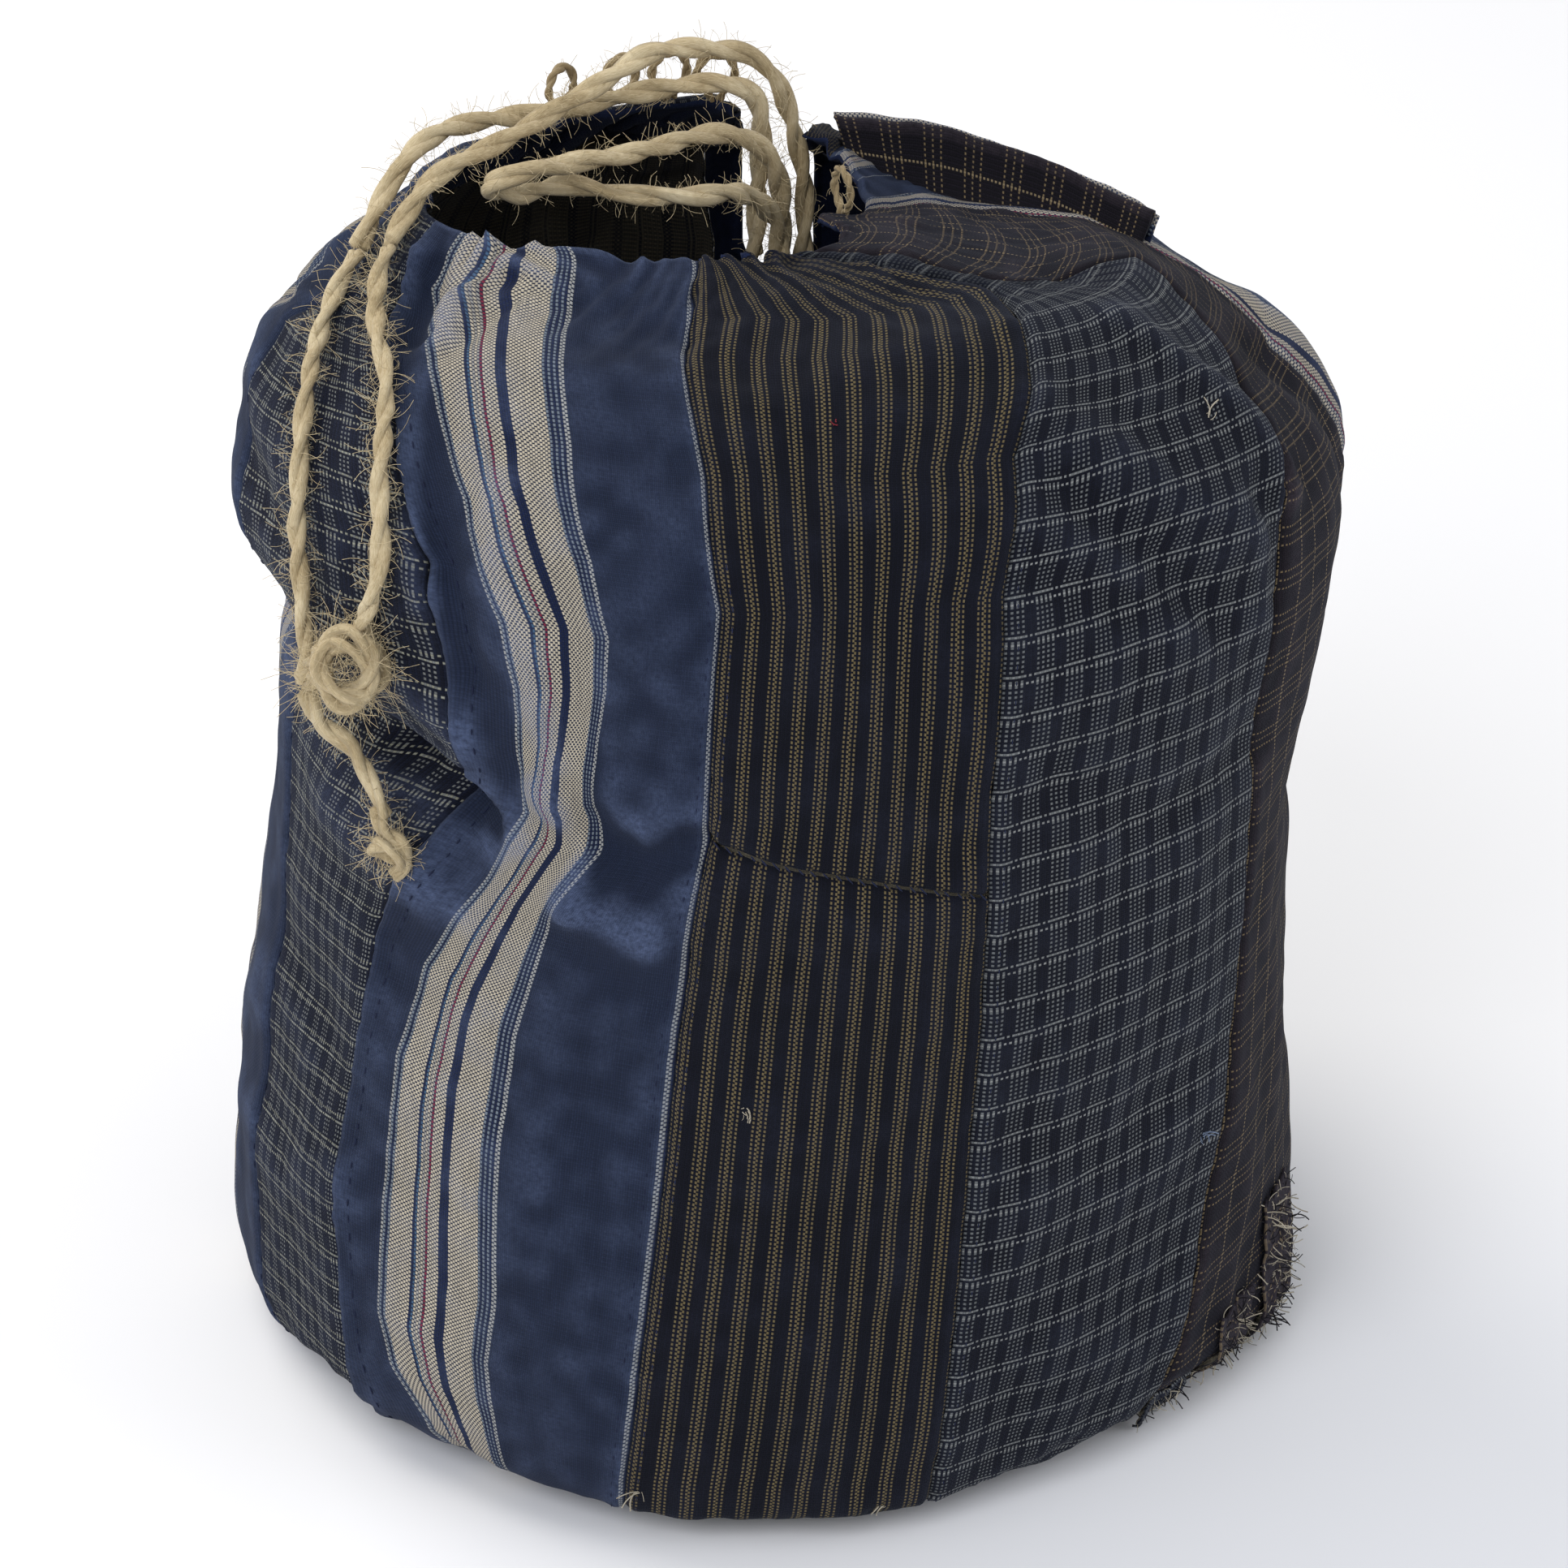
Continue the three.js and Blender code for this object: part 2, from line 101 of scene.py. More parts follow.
# materials
def addNode(tree, kind, links=None, inputs=None, **settings):
    node = tree.nodes.new(kind)
    for key, value in settings.items():
        setattr(node, key, value)
    for key, value in (inputs or {}).items():
        node.inputs[key].default_value = value
    for key, source in (links or {}).items():
        tree.links.new(source, node.inputs[key])
    return node


def maths(tree, operation, a, b=None, c=None, clamp=False):
    node = addNode(tree, "ShaderNodeMath", operation=operation, use_clamp=clamp)
    for i, value in enumerate((a, b, c)):
        if value is None:
            continue
        if isinstance(value, (int, float)):
            node.inputs[i].default_value = value
        else:
            tree.links.new(value, node.inputs[i])
    return node.outputs[0]


def newMaterial(name):
    material = bpy.data.materials.new(name)
    material.use_nodes = True
    return material, material.node_tree, material.node_tree.nodes["Principled BSDF"]


def bandRamp(tree, position, bands, shade):     # a colour for each thread of the repeat
    total = sum(band[0] for band in bands)
    ramp = addNode(tree, "ShaderNodeValToRGB", links={"Fac": position})
    ramp.color_ramp.interpolation = "CONSTANT"
    stops = ramp.color_ramp.elements
    start = 0
    for i, band in enumerate(bands):
        if i < 2:
            stop = stops[i]
            stop.position = start / total
        else:
            stop = stops.new(start / total)
        stop.color = linear(band[shade])
        start += band[0]
    if len(bands) == 1:
        stops[1].position = 1.0
        stops[1].color = linear(bands[0][shade])
    return ramp.outputs["Color"]


def wovenCloth(name, cloth):
    material, tree, shader = newMaterial(name)
    pitch = cloth["pitch"]
    uv = addNode(tree, "ShaderNodeUVMap", uv_map="cloth").outputs["UV"]
    # hand-spun thread never lies quite straight
    sway = addNode(tree, "ShaderNodeTexNoise", links={"Vector": uv},
                   inputs={"Scale": cloth["sway"][0], "Detail": 2.0})
    off = addNode(tree, "ShaderNodeVectorMath", links={0: sway.outputs["Color"]}, operation="SUBTRACT",
                  inputs={1: (0.5, 0.5, 0.5)})
    moved = addNode(tree, "ShaderNodeVectorMath", links={0: off.outputs[0], 2: uv},
                    inputs={1: (cloth["sway"][1],) * 3}, operation="MULTIPLY_ADD")
    split = addNode(tree, "ShaderNodeSeparateXYZ", links={"Vector": moved.outputs[0]})
    u, v = split.outputs["X"], split.outputs["Y"]
    un, vn = maths(tree, "DIVIDE", u, pitch), maths(tree, "DIVIDE", v, pitch)
    i, j = maths(tree, "FLOOR", un), maths(tree, "FLOOR", vn)
    fu, fv = maths(tree, "FRACT", un), maths(tree, "FRACT", vn)

    def threadColour(index, bands):
        total = sum(band[0] for band in bands)
        place = maths(tree, "FRACT", maths(tree, "DIVIDE", maths(tree, "ADD", index, 0.5), float(total)))
        first = bandRamp(tree, place, bands, 1)
        if all(band[1] == band[2] for band in bands):
            return first
        second = bandRamp(tree, place, bands, 2)
        odd = maths(tree, "FLOORED_MODULO", index, 2.0)
        return addNode(tree, "ShaderNodeMix", links={0: odd, 6: first, 7: second},
                       data_type="RGBA").outputs[2]

    warp, weft = threadColour(i, cloth["warp"]), threadColour(j, cloth["weft"])
    check = maths(tree, "FLOORED_MODULO", maths(tree, "ADD", i, j), 2.0)
    edge = maths(tree, "ABSOLUTE", maths(tree, "SUBTRACT", fv, 0.5))    # the weft floats are shorter
    over = maths(tree, "MAXIMUM", check, maths(tree, "GREATER_THAN", edge, cloth.get("weftFloat", 0.5)))
    woven = addNode(tree, "ShaderNodeMix", links={0: over, 6: weft, 7: warp}, data_type="RGBA").outputs[2]

    # each thread has its own depth of dye, and it changes along the thread
    slubWarp = addNode(tree, "ShaderNodeTexNoise", noise_dimensions="2D",
                       inputs={"Scale": 1.0, "Detail": 1.0},
                       links={"Vector": addNode(tree, "ShaderNodeCombineXYZ", links={
                           "X": maths(tree, "MULTIPLY", i, 7.3),
                           "Y": maths(tree, "DIVIDE", v, 9.0)}).outputs[0]})
    slubWeft = addNode(tree, "ShaderNodeTexNoise", noise_dimensions="2D",
                       inputs={"Scale": 1.0, "Detail": 1.0},
                       links={"Vector": addNode(tree, "ShaderNodeCombineXYZ", links={
                           "X": maths(tree, "DIVIDE", u, 9.0),
                           "Y": maths(tree, "MULTIPLY", j, 7.3)}).outputs[0]})
    slub = addNode(tree, "ShaderNodeMix", data_type="FLOAT", links={
        0: over, 2: slubWeft.outputs["Fac"], 3: slubWarp.outputs["Fac"]}).outputs[0]
    # the round of each thread, and painted shade that darkens the gaps where four threads meet
    across = maths(tree, "SINE", maths(tree, "MULTIPLY", fu, math.pi))
    along = maths(tree, "SINE", maths(tree, "MULTIPLY", fv, math.pi))
    warpHigh = maths(tree, "MULTIPLY", across, maths(tree, "MULTIPLY_ADD", along, 0.45, 0.55))
    weftHigh = maths(tree, "MULTIPLY", along, maths(tree, "MULTIPLY_ADD", across, 0.45, 0.55))
    high = addNode(tree, "ShaderNodeMix", data_type="FLOAT",
                   links={0: over, 2: weftHigh, 3: warpHigh}).outputs[0]

    patchy = addNode(tree, "ShaderNodeTexNoise", inputs={"Scale": cloth["fading"][0], "Detail": 4.0,
                     "Roughness": 0.62},
                     links={"Vector": addNode(tree, "ShaderNodeTexCoord").outputs["Object"]})
    dye = cloth["dye"]
    # painted shade: the colour darkens where the threads dip into the gaps between them; the slub and fading
    # factors are the cloth's own tone
    depth = maths(tree, "MULTIPLY",
                  maths(tree, "MULTIPLY_ADD", high, dye * cloth["gap"], dye * (1 - cloth["gap"] * 0.75)),
                  maths(tree, "MULTIPLY_ADD", slub, cloth["slub"], 1 - cloth["slub"] / 2))
    depth = maths(tree, "MULTIPLY", depth,
                  maths(tree, "MULTIPLY_ADD", patchy.outputs["Fac"], cloth["fading"][1],
                        1 - cloth["fading"][1] / 2))
    shade = addNode(tree, "ShaderNodeVectorMath", links={0: woven, 3: depth}, operation="SCALE")
    # wear: ridges and seam edges have lost dye and show the pale core of the yarn
    wear = addNode(tree, "ShaderNodeAttribute", attribute_name="wear").outputs["Fac"]
    rub = addNode(tree, "ShaderNodeTexNoise", links={"Vector": uv}, inputs={"Scale": 0.55, "Detail": 5.0,
                  "Roughness": 0.7})
    worn = maths(tree, "MULTIPLY", wear,
                 maths(tree, "MULTIPLY_ADD", rub.outputs["Fac"], 1.7, -0.35, clamp=True))
    worn = maths(tree, "MULTIPLY", worn, cloth["worn"][1], clamp=True)
    faded = addNode(tree, "ShaderNodeMix", data_type="RGBA", inputs={7: linear(cloth["worn"][0])},
                    links={0: worn, 6: shade.outputs[0]}).outputs[2]
    tree.links.new(faded, shader.inputs["Base Color"])
    fibre = addNode(tree, "ShaderNodeTexNoise", links={"Vector": uv}, inputs={"Scale": 3.2, "Detail": 3.0})
    relief = maths(tree, "MULTIPLY_ADD", fibre.outputs["Fac"], 0.35, high)
    bump = addNode(tree, "ShaderNodeBump", links={"Height": relief},
                   inputs={"Strength": cloth["bump"], "Distance": 0.16 * mm})
    tree.links.new(bump.outputs["Normal"], shader.inputs["Normal"])
    shader.inputs["Roughness"].default_value = 0.93
    shader.inputs["Specular IOR Level"].default_value = 0.18
    shader.inputs["Sheen Weight"].default_value = cloth["sheen"]
    shader.inputs["Sheen Roughness"].default_value = 0.45
    shader.inputs["Sheen Tint"].default_value = linear("#8d9bbd")
    return material


cream, red = "#f2e6cd", "#9a3550"
cloths = {
    # thread counts and their two alternating colours, from the left seam; pitch in mm
    "indigoStripe": {   # indigo cotton with cream stripes and one red thread, faded and soft
        "dye": 0.5, "weftFloat": 0.34, "pitch": 0.7, "sway": (0.05, 0.5), "slub": 0.5, "gap": 0.6,
                     "bump": 0.9, "sheen": 0.07,
        "fading": (26.0, 0.34), "worn": ("#7080a6", 0.5),
        "warp": [(20, "#2d3852", "#29344e"), (1, "#c6c6c0", "#c6c6c0"), (3, "#1f2c50", "#98a3ac"),
                 (10, cream, cream), (2, "#22305a", "#56789a"), (4, cream, "#ccc8be"), (1, red, red),
                 (5, cream, cream), (4, "#202d54", "#202d54"), (13, cream, cream),
                 (6, "#1e2a50", "#8f9ba8"),
                 (2, "#c9cac6", "#c9cac6"), (63, "#2d3852", "#29344e"), (2, "#b9bcbc", "#b9bcbc"),
                 (1, "#1e2a50", "#1e2a50")],
        "weft": [(1, "#28324a", "#2a344e")],
    },
    "pinstripe": {      # near-black indigo with pairs of tan threads, hard wearing and flat
        "dye": 0.29, "weftFloat": 0.42, "pitch": 0.69, "sway": (0.06, 0.55), "slub": 0.4, "gap": 0.5,
                  "bump": 0.85, "sheen": 0.07,
        "fading": (24.0, 0.4), "worn": ("#34394f", 0.35),
        "warp": [(1, "#b09d70", "#b09d70"), (1, "#141a34", "#141a34"), (2, "#b3a075", "#a8966a"),
                 (1, "#141a34", "#141a34"), (1, "#b09d70", "#b09d70"), (6, "#14182a", "#171b2e")],
        "weft": [(1, "#121626", "#16192b")],
    },
    "windowpane": {     # blue-black cotton with white threads both ways
        "dye": 0.33, "weftFloat": 0.5, "pitch": 0.7, "sway": (0.045, 0.7), "slub": 0.5, "gap": 0.5,
                   "bump": 0.85, "sheen": 0.08,
        "fading": (22.0, 0.34), "worn": ("#464d62", 0.3),
        "warp": [(7, "#9a9fa0", "#14182a"), (5, "#15192b", "#181c30")],
        "weft": [(1, "#cbcecb", "#cbcecb"), (2, "#14182a", "#14182a"), (1, "#bec2c0", "#bec2c0"),
                 (12, "#131727", "#191d2e")],
    },
    "slubCheck": {      # darker check with uneven, knotty white thread
        "dye": 0.5, "weftFloat": 0.5, "pitch": 0.7, "sway": (0.07, 1.5), "slub": 0.95, "gap": 0.5,
                  "bump": 0.9, "sheen": 0.07,
        "fading": (30.0, 0.4), "worn": ("#4a5470", 0.4),
        "warp": [(6, "#8f9290", "#151a2c"), (5, "#141829", "#1a2036")],
        "weft": [(1, "#b9b9a8", "#b9b9a8"), (2, "#151a2c", "#151a2c"), (1, "#a9a998", "#a9a998"),
                 (9, "#141829", "#191f33")],
    },
    "plaid": {          # brown-black cotton with a fine tan plaid
        "dye": 0.5, "weftFloat": 0.45, "pitch": 0.62, "sway": (0.05, 0.5), "slub": 0.5, "gap": 0.5,
              "bump": 0.8, "sheen": 0.07,
        "fading": (24.0, 0.36), "worn": ("#5a5058", 0.4),
        "warp": [(1, "#a89573", "#a89573"), (18, "#1b181f", "#211d26")],
        "weft": [(1, "#94805f", "#94805f"), (3, "#1b181f", "#211d26"), (1, "#8c7a5c", "#8c7a5c"),
                 (3, "#1b181f", "#211d26"), (1, "#94805f", "#94805f"), (11, "#1b181f", "#1f1b24")],
    },
    "navyFacing": {     # dark indigo lining of the mouth
        "dye": 0.42, "weftFloat": 0.5, "pitch": 0.7, "sway": (0.05, 0.4), "slub": 0.3, "gap": 0.45,
                   "bump": 0.7, "sheen": 0.08,
        "fading": (26.0, 0.35), "worn": ("#3c4d7c", 0.6),
        "warp": [(1, "#1a2444", "#1e294c")], "weft": [(1, "#18213e", "#1c2546")],
    },
    "greyReverse": {    # the wrong side of the striped cloth, where the stripes show grey
        "dye": 0.6, "weftFloat": 0.5, "pitch": 0.8, "sway": (0.05, 0.6), "slub": 0.5, "gap": 0.55,
                    "bump": 0.7, "sheen": 0.1,
        "fading": (26.0, 0.4), "worn": ("#8b8576", 0.4),
        "warp": [(8, "#77705f", "#5f5c54"), (3, "#2a2e3c", "#6a665a"), (6, "#6e6858", "#4d4c4a"),
                 (4, "#272c3a", "#272c3a")],
        "weft": [(1, "#4d4b47", "#6a6456")],
    },
    "cottonLining": {   # unbleached cotton inside the wall
        "dye": 0.75, "weftFloat": 0.5, "pitch": 0.8, "sway": (0.05, 0.4), "slub": 0.3, "gap": 0.4,
                     "bump": 0.6, "sheen": 0.1,
        "fading": (20.0, 0.25), "worn": ("#d8d0bc", 0.3),
        "warp": [(1, "#b9b09a", "#b3aa93")], "weft": [(1, "#b4ab95", "#aea58f")],
    },
}
clothMaterials = {name: wovenCloth(name, cloth) for name, cloth in cloths.items()}


def hempRope(name, dark, middle, light):    # laid bast fibre: long dull-gold hairs with paler breaks
    material, tree, shader = newMaterial(name)
    uv = addNode(tree, "ShaderNodeUVMap", uv_map="cloth").outputs["UV"]
    long = addNode(tree, "ShaderNodeMapping", links={"Vector": uv}, inputs={"Scale": (1.6, 0.16, 1.0)})
    fibre = addNode(tree, "ShaderNodeTexNoise", links={"Vector": long.outputs[0]},
                    inputs={"Scale": 2.6, "Detail": 6.0, "Roughness": 0.68})
    patch = addNode(tree, "ShaderNodeTexNoise", inputs={"Scale": 75.0, "Detail": 3.0},
                    links={"Vector": addNode(tree, "ShaderNodeTexCoord").outputs["Object"]})
    both = maths(tree, "MULTIPLY_ADD", patch.outputs["Fac"], 0.45,
                 maths(tree, "MULTIPLY", fibre.outputs["Fac"], 0.6))
    ramp = addNode(tree, "ShaderNodeValToRGB", links={"Fac": both})
    stops = ramp.color_ramp.elements
    stops[0].position, stops[0].color = 0.36, linear(dark)
    stops[1].position, stops[1].color = 0.66, linear(light)
    stops.new(0.5).color = linear(middle)
    tree.links.new(ramp.outputs["Color"], shader.inputs["Base Color"])
    bump = addNode(tree, "ShaderNodeBump", links={"Height": fibre.outputs["Fac"]},
                   inputs={"Strength": 0.8, "Distance": 0.35 * mm})
    tree.links.new(bump.outputs["Normal"], shader.inputs["Normal"])
    shader.inputs["Roughness"].default_value = 0.78
    shader.inputs["Specular IOR Level"].default_value = 0.3
    shader.inputs["Sheen Weight"].default_value = 0.15
    shader.inputs["Sheen Roughness"].default_value = 0.4
    return material


def yarn(name, colour, deep):       # twisted sewing thread and frayed ends
    material, tree, shader = newMaterial(name)
    speck = addNode(tree, "ShaderNodeTexNoise", inputs={"Scale": 900.0, "Detail": 2.0},
                    links={"Vector": addNode(tree, "ShaderNodeTexCoord").outputs["Object"]})
    mix = addNode(tree, "ShaderNodeMix", data_type="RGBA", links={0: speck.outputs["Fac"]},
                  inputs={6: linear(deep), 7: linear(colour)})
    tree.links.new(mix.outputs[2], shader.inputs["Base Color"])
    shader.inputs["Roughness"].default_value = 0.85
    shader.inputs["Specular IOR Level"].default_value = 0.25
    return material


hemp = hempRope("hempRope", "#8d7a55", "#b9a681", "#d8c9a6")
hempHair = yarn("hempFibre", "#dccdab", "#a8946b")
# painted shade: a darker copy of the rope colours for the loops at the back of the rim, standing in for the shade
# they sit in
shadedHemp = hempRope("hempRopeShaded", "#6d5c40", "#8e7c5b", "#b09d79")
navyYarn = yarn("navyThread", "#1c2440", "#0e1326")
creamYarn = yarn("creamYarn", "#c9c0ac", "#8d8574")
paleYarn = yarn("paleBlueYarn", "#93a1b4", "#4d5b78")
blackYarn = yarn("blackYarn", "#1e1b22", "#0d0c10")
redYarn = yarn("redYarn", "#8e2f38", "#5c1c26")

floorMaterial, _, floorShader = newMaterial("studioPaper")
floorShader.inputs["Base Color"].default_value = linear("#f4f4f5")
floorShader.inputs["Roughness"].default_value = 0.9
floorShader.inputs["Specular IOR Level"].default_value = 0.1
floorMesh = bpy.data.meshes.new("paper")
floorMesh.from_pydata([(-9, -9, -0.0004), (9, -9, -0.0004), (9, 9, -0.0004), (-9, 9, -0.0004)], [],
                      [(0, 1, 2, 3)])
floorMesh.materials.append(floorMaterial)
floor = bpy.data.objects.new("paper", floorMesh)
scene.collection.objects.link(floor)


# the drawstring
print("ropes")
rope = {
    "diameter": 7.0,        # mm
    "plies": 2,
    "lay": 36.0,            # mm along the rope for one turn of the twist
    "ringStep": 1.1,
    "sides": 10,
    "slimmer": 0.86,        # the hanging ends are worn thinner
    "lumps": 0.22,          # how uneven the yarn is
}
# the route of each length of the rope in mm, where it enters the cloth or joins the next one
routes = {
    "drawstringOverFront": [
        (8, 60, 318), (8, 62, 340), (4, 61, 362), (0, 55, 376), (-8, 49, 387), (-21, 42, 392),
        (-36, 37, 393), (-48, 32, 388), (-61, 25, 382), (-77, 9, 378), (-92, -2, 374),
        (-102, -11, 370), (-109, -18, 362), (-112, -25, 358)],
    "drawstringOverBack": [
        (-7, 60, 318), (-6, 60, 340), (-5, 56, 362), (-8, 50, 375), (-18, 47, 379), (-31, 47, 378),
        (-45, 45, 376), (-58, 40, 375), (-71, 35, 374), (-85, 28, 375), (-98, 17, 376),
        (-107, 4, 374), (-116, -6, 363), (-122, -14, 352)],
    "hangingStrandFront": [
        (-112.5, -27, 357), (-115, -37, 353), (-115, -54, 346), (-111, -77, 337), (-112, -102, 318),
        (-112, -114, 298), (-115, -114, 286)],
    "hangingStrandBack": [
        (-122.5, -16, 351), (-128, -28, 345), (-134, -52, 332), (-137, -77, 308), (-137, -88, 286),
        (-136, -90, 262), (-136, -91, 249)],
    "drawstringBight": [
        (1, 57, 322), (1, 55, 340), (-4, 46, 358), (-18, 34, 368), (-38, 17, 370), (-61, 3, 371),
        (-74, -8, 373), (-84, -8, 369), (-77, -1, 363), (-61, 9, 362), (-47, 8, 360), (-26, 10, 358),
        (-14, 18, 356), (-7, 32, 348), (0, 47, 333), (1, 48, 318)],
    "drawstringTail": [(-136, -92, 246), (-132, -97, 239), (-123, -103, 234), (-117, -109, 226),
                       (-113, -112, 216)],
}


def smoothPath(points, step):       # centripetal Catmull-Rom through the points, evenly spaced, in mm
    p = np.array(points, float)
    p = np.vstack([2 * p[0] - p[1], p, 2 * p[-1] - p[-2]])
    out = []
    for k in range(1, len(p) - 2):
        knots = [0.0]
        for a, b in zip(p[k - 1:k + 2], p[k:k + 3]):
            knots.append(knots[-1] + max(np.linalg.norm(b - a), 1e-6) ** 0.5)
        t = np.linspace(knots[1], knots[2], 24, endpoint=False)[:, None]
        a1 = (knots[1] - t) / (knots[1] - knots[0]) * p[k - 1] + (t - knots[0]) / (knots[1] - knots[0]) * p[k]
        a2 = (knots[2] - t) / (knots[2] - knots[1]) * p[k] + (t - knots[1]) / (knots[2] - knots[1]) * p[k + 1]
        a3 = (knots[3] - t) / (knots[3] - knots[2]) * p[k + 1] + (t - knots[2]) / (knots[3] - knots[2]) * p[k + 2]
        b1 = (knots[2] - t) / (knots[2] - knots[0]) * a1 + (t - knots[0]) / (knots[2] - knots[0]) * a2
        b2 = (knots[3] - t) / (knots[3] - knots[1]) * a2 + (t - knots[1]) / (knots[3] - knots[1]) * a3
        out.append((knots[2] - t) / (knots[2] - knots[1]) * b1 + (t - knots[1]) / (knots[2] - knots[1]) * b2)
    out = np.vstack(out + [p[-2:-1]])
    gone = np.concatenate([[0], np.cumsum(np.linalg.norm(np.diff(out, axis=0), axis=1))])
    count = max(3, int(round(gone[-1] / step)) + 1)
    even = np.linspace(0, gone[-1], count)
    return np.stack([np.interp(even, gone, out[:, c]) for c in range(3)], axis=1)


def carriedFrames(path):            # a side and an up direction carried along without twisting
    tangent = np.gradient(path, axis=0)
    tangent /= np.linalg.norm(tangent, axis=1, keepdims=True)
    side = np.zeros_like(path)
    start = np.cross(tangent[0], (0, 0, 1.0))
    if np.linalg.norm(start) < 0.2:
        start = np.cross(tangent[0], (0, 1.0, 0))
    side[0] = start / np.linalg.norm(start)
    for k in range(1, len(path)):
        s = side[k - 1] - tangent[k] * np.dot(side[k - 1], tangent[k])
        side[k] = s / np.linalg.norm(s)
    return tangent, side, np.cross(tangent, side)


def newPiece(name, vertices, faces, materials, uvs=None, slots=None, wear=None, smooth=True):
    mesh = bpy.data.meshes.new(name)
    mesh.from_pydata(np.asarray(vertices).tolist(), [], [list(map(int, face)) for face in faces])
    for material in materials:
        mesh.materials.append(material)
    if slots is not None:
        mesh.polygons.foreach_set("material_index", np.asarray(slots, dtype=np.int32))
    if uvs is not None:
        layer = mesh.uv_layers.new(name="cloth")
        corners = np.zeros(len(mesh.loops), dtype=np.int32)
        mesh.loops.foreach_get("vertex_index", corners)
        layer.data.foreach_set("uv", np.asarray(uvs, dtype=np.float32)[corners].ravel())
    if wear is not None:
        mesh.attributes.new("wear", "FLOAT", "POINT").data.foreach_set("value",
                                                                       np.asarray(wear, dtype=np.float32))
    if smooth:
        mesh.shade_smooth()
    mesh.update()
    piece = bpy.data.objects.new(name, mesh)
    scene.collection.objects.link(piece)
    return piece


def tubeParts(path, radius, sides, offset=0):   # rings round a path, closed at both ends
    tangent, side, up = carriedFrames(path)
    count = len(path)
    turn = np.linspace(0, 2 * math.pi, sides, endpoint=False)
    ring = side[:, None] * np.cos(turn)[None, :, None] + up[:, None] * np.sin(turn)[None, :, None]
    points = (path[:, None] + ring * np.asarray(radius)[:, None, None]).reshape(-1, 3)
    points = np.vstack([points, path[0] - tangent[0] * radius[0] * 0.5,
                        path[-1] + tangent[-1] * radius[-1] * 0.5])
    faces = []
    for k in range(count - 1):
        for s in range(sides):
            a, b = k * sides + s, k * sides + (s + 1) % sides
            faces.append((a + offset, b + offset, b + sides + offset, a + sides + offset))
    first, last = count * sides + offset, count * sides + 1 + offset
    for s in range(sides):
        a, b = s, (s + 1) % sides
        faces.append((b + offset, a + offset, first))
        faces.append(((count - 1) * sides + a + offset, (count - 1) * sides + b + offset, last))
    length = np.concatenate([[0], np.cumsum(np.linalg.norm(np.diff(path, axis=0), axis=1))])
    uv = np.stack([np.tile(turn * np.mean(radius), count), np.repeat(length, sides)], axis=1)
    uv = np.vstack([uv, [0, 0], [0, length[-1]]])
    return points, faces, uv


def laidRope(name, paths, diameter, lay, material, seed, lumps=None, sides=None, plies=None, taper=0.0):
    rng = np.random.default_rng(seed)
    plies = plies or rope["plies"]
    sides = sides or rope["sides"]
    lumps = rope["lumps"] if lumps is None else lumps
    points, faces, uvs = [], [], []
    for path in paths:
        tangent, side, up = carriedFrames(path)
        gone = np.concatenate([[0], np.cumsum(np.linalg.norm(np.diff(path, axis=0), axis=1))])
        # the twist tightens and slackens along the rope
        wander = np.interp(gone, np.linspace(0, gone[-1], 9), rng.uniform(-0.8, 0.8, 9))
        turn = 2 * math.pi * gone / lay + wander
        ends = np.ones(len(path))
        if taper:
            ends = np.clip(0.45 + (gone[-1] - gone) / taper, 0.45, 1)
        for ply in range(plies):
            swell = np.interp(gone, np.linspace(0, gone[-1], max(4, int(gone[-1] / 7))),
                              rng.uniform(1 - lumps, 1 + lumps * 0.7, max(4, int(gone[-1] / 7))))
            phase = turn + ply * 2 * math.pi / plies + rng.uniform(-0.1, 0.1)
            reach = diameter * (0.19 if plies == 2 else 0.27) * ends
            middle = path + (side * np.cos(phase)[:, None] + up * np.sin(phase)[:, None]) * reach[:, None]
            radius = diameter * (0.3 if plies == 2 else 0.235) * swell * ends
            p, f, uv = tubeParts(middle, radius, sides, sum(len(q) for q in points))
            uv[:, 0] += 9.0 * ply
            points.append(p)
            faces += f
            uvs.append(uv)
    return newPiece(name, np.vstack(points) * mm, faces, [material], np.vstack(uvs))



routePaths = {name: smoothPath(points, rope["ringStep"]) for name, points in routes.items()}
ropePieces = {}
for k, (name, path) in enumerate(routePaths.items()):
    slim = rope["slimmer"] if name.startswith(("hanging", "drawstringTail")) else 1.0
    ropePieces[name] = laidRope(name, [path], rope["diameter"] * slim, rope["lay"] * slim, hemp, 40 + k)


# the wall of the sack
print("shape of the full sack")
# radius and height in mm at eight compass points from the front round by the right, base to mouth
sackSections = [
    ((150, 138, 146, 138, 146, 140, 150, 146), 0),
    ((163, 152, 157, 151, 156, 152, 162, 158), 6),
    ((172, 160, 163, 157, 162, 158, 170, 167), 24),
    ((174, 162, 161, 158, 162, 160, 169, 167), 60),
    ((170, 162, 158, 158, 160, 159, 162, 162), 105),
    ((167, 161, 158, 158, 158, 158, 157, 155), 150),
    ((164, 161, 160, 158, 156, 156, 152, 150), 195),
    ((160, 162, 166, 160, 153, 156, 154, 151), 240),
    ((151, 160, 169, 162, 150, 157, 162, 156), (280, 282, 276, 278, 272, 276, 272, 282)),
    ((136, 147, 158, 148, 140, 148, 157, 146), (312, 314, 304, 304, 300, 306, 302, 314)),
    ((106, 116, 128, 124, 120, 124, 142, 119), (340, 341, 326, 326, 326, 334, 326, 340)),
    ((72, 74, 76, 76, 92, 100, 124, 92), (356, 355, 347, 343, 347, 354, 345, 356)),
    ((44, 30, 15, 40, 60, 78, 107, 70), (362, 360, 357, 350, 364, 368, 361, 364)),
]
rim = len(sackSections) - 1
sectionRadius = np.array([section[0] for section in sackSections], float)
sectionHeight = np.array([np.broadcast_to(section[1], 8) for section in sackSections], float)


def spline(a, b, c, d, t):
    return 0.5 * (2 * b + (c - a) * t + (2 * a - 5 * b + 4 * c - d) * t * t + (3 * b - a - 3 * c + d) * t ** 3)


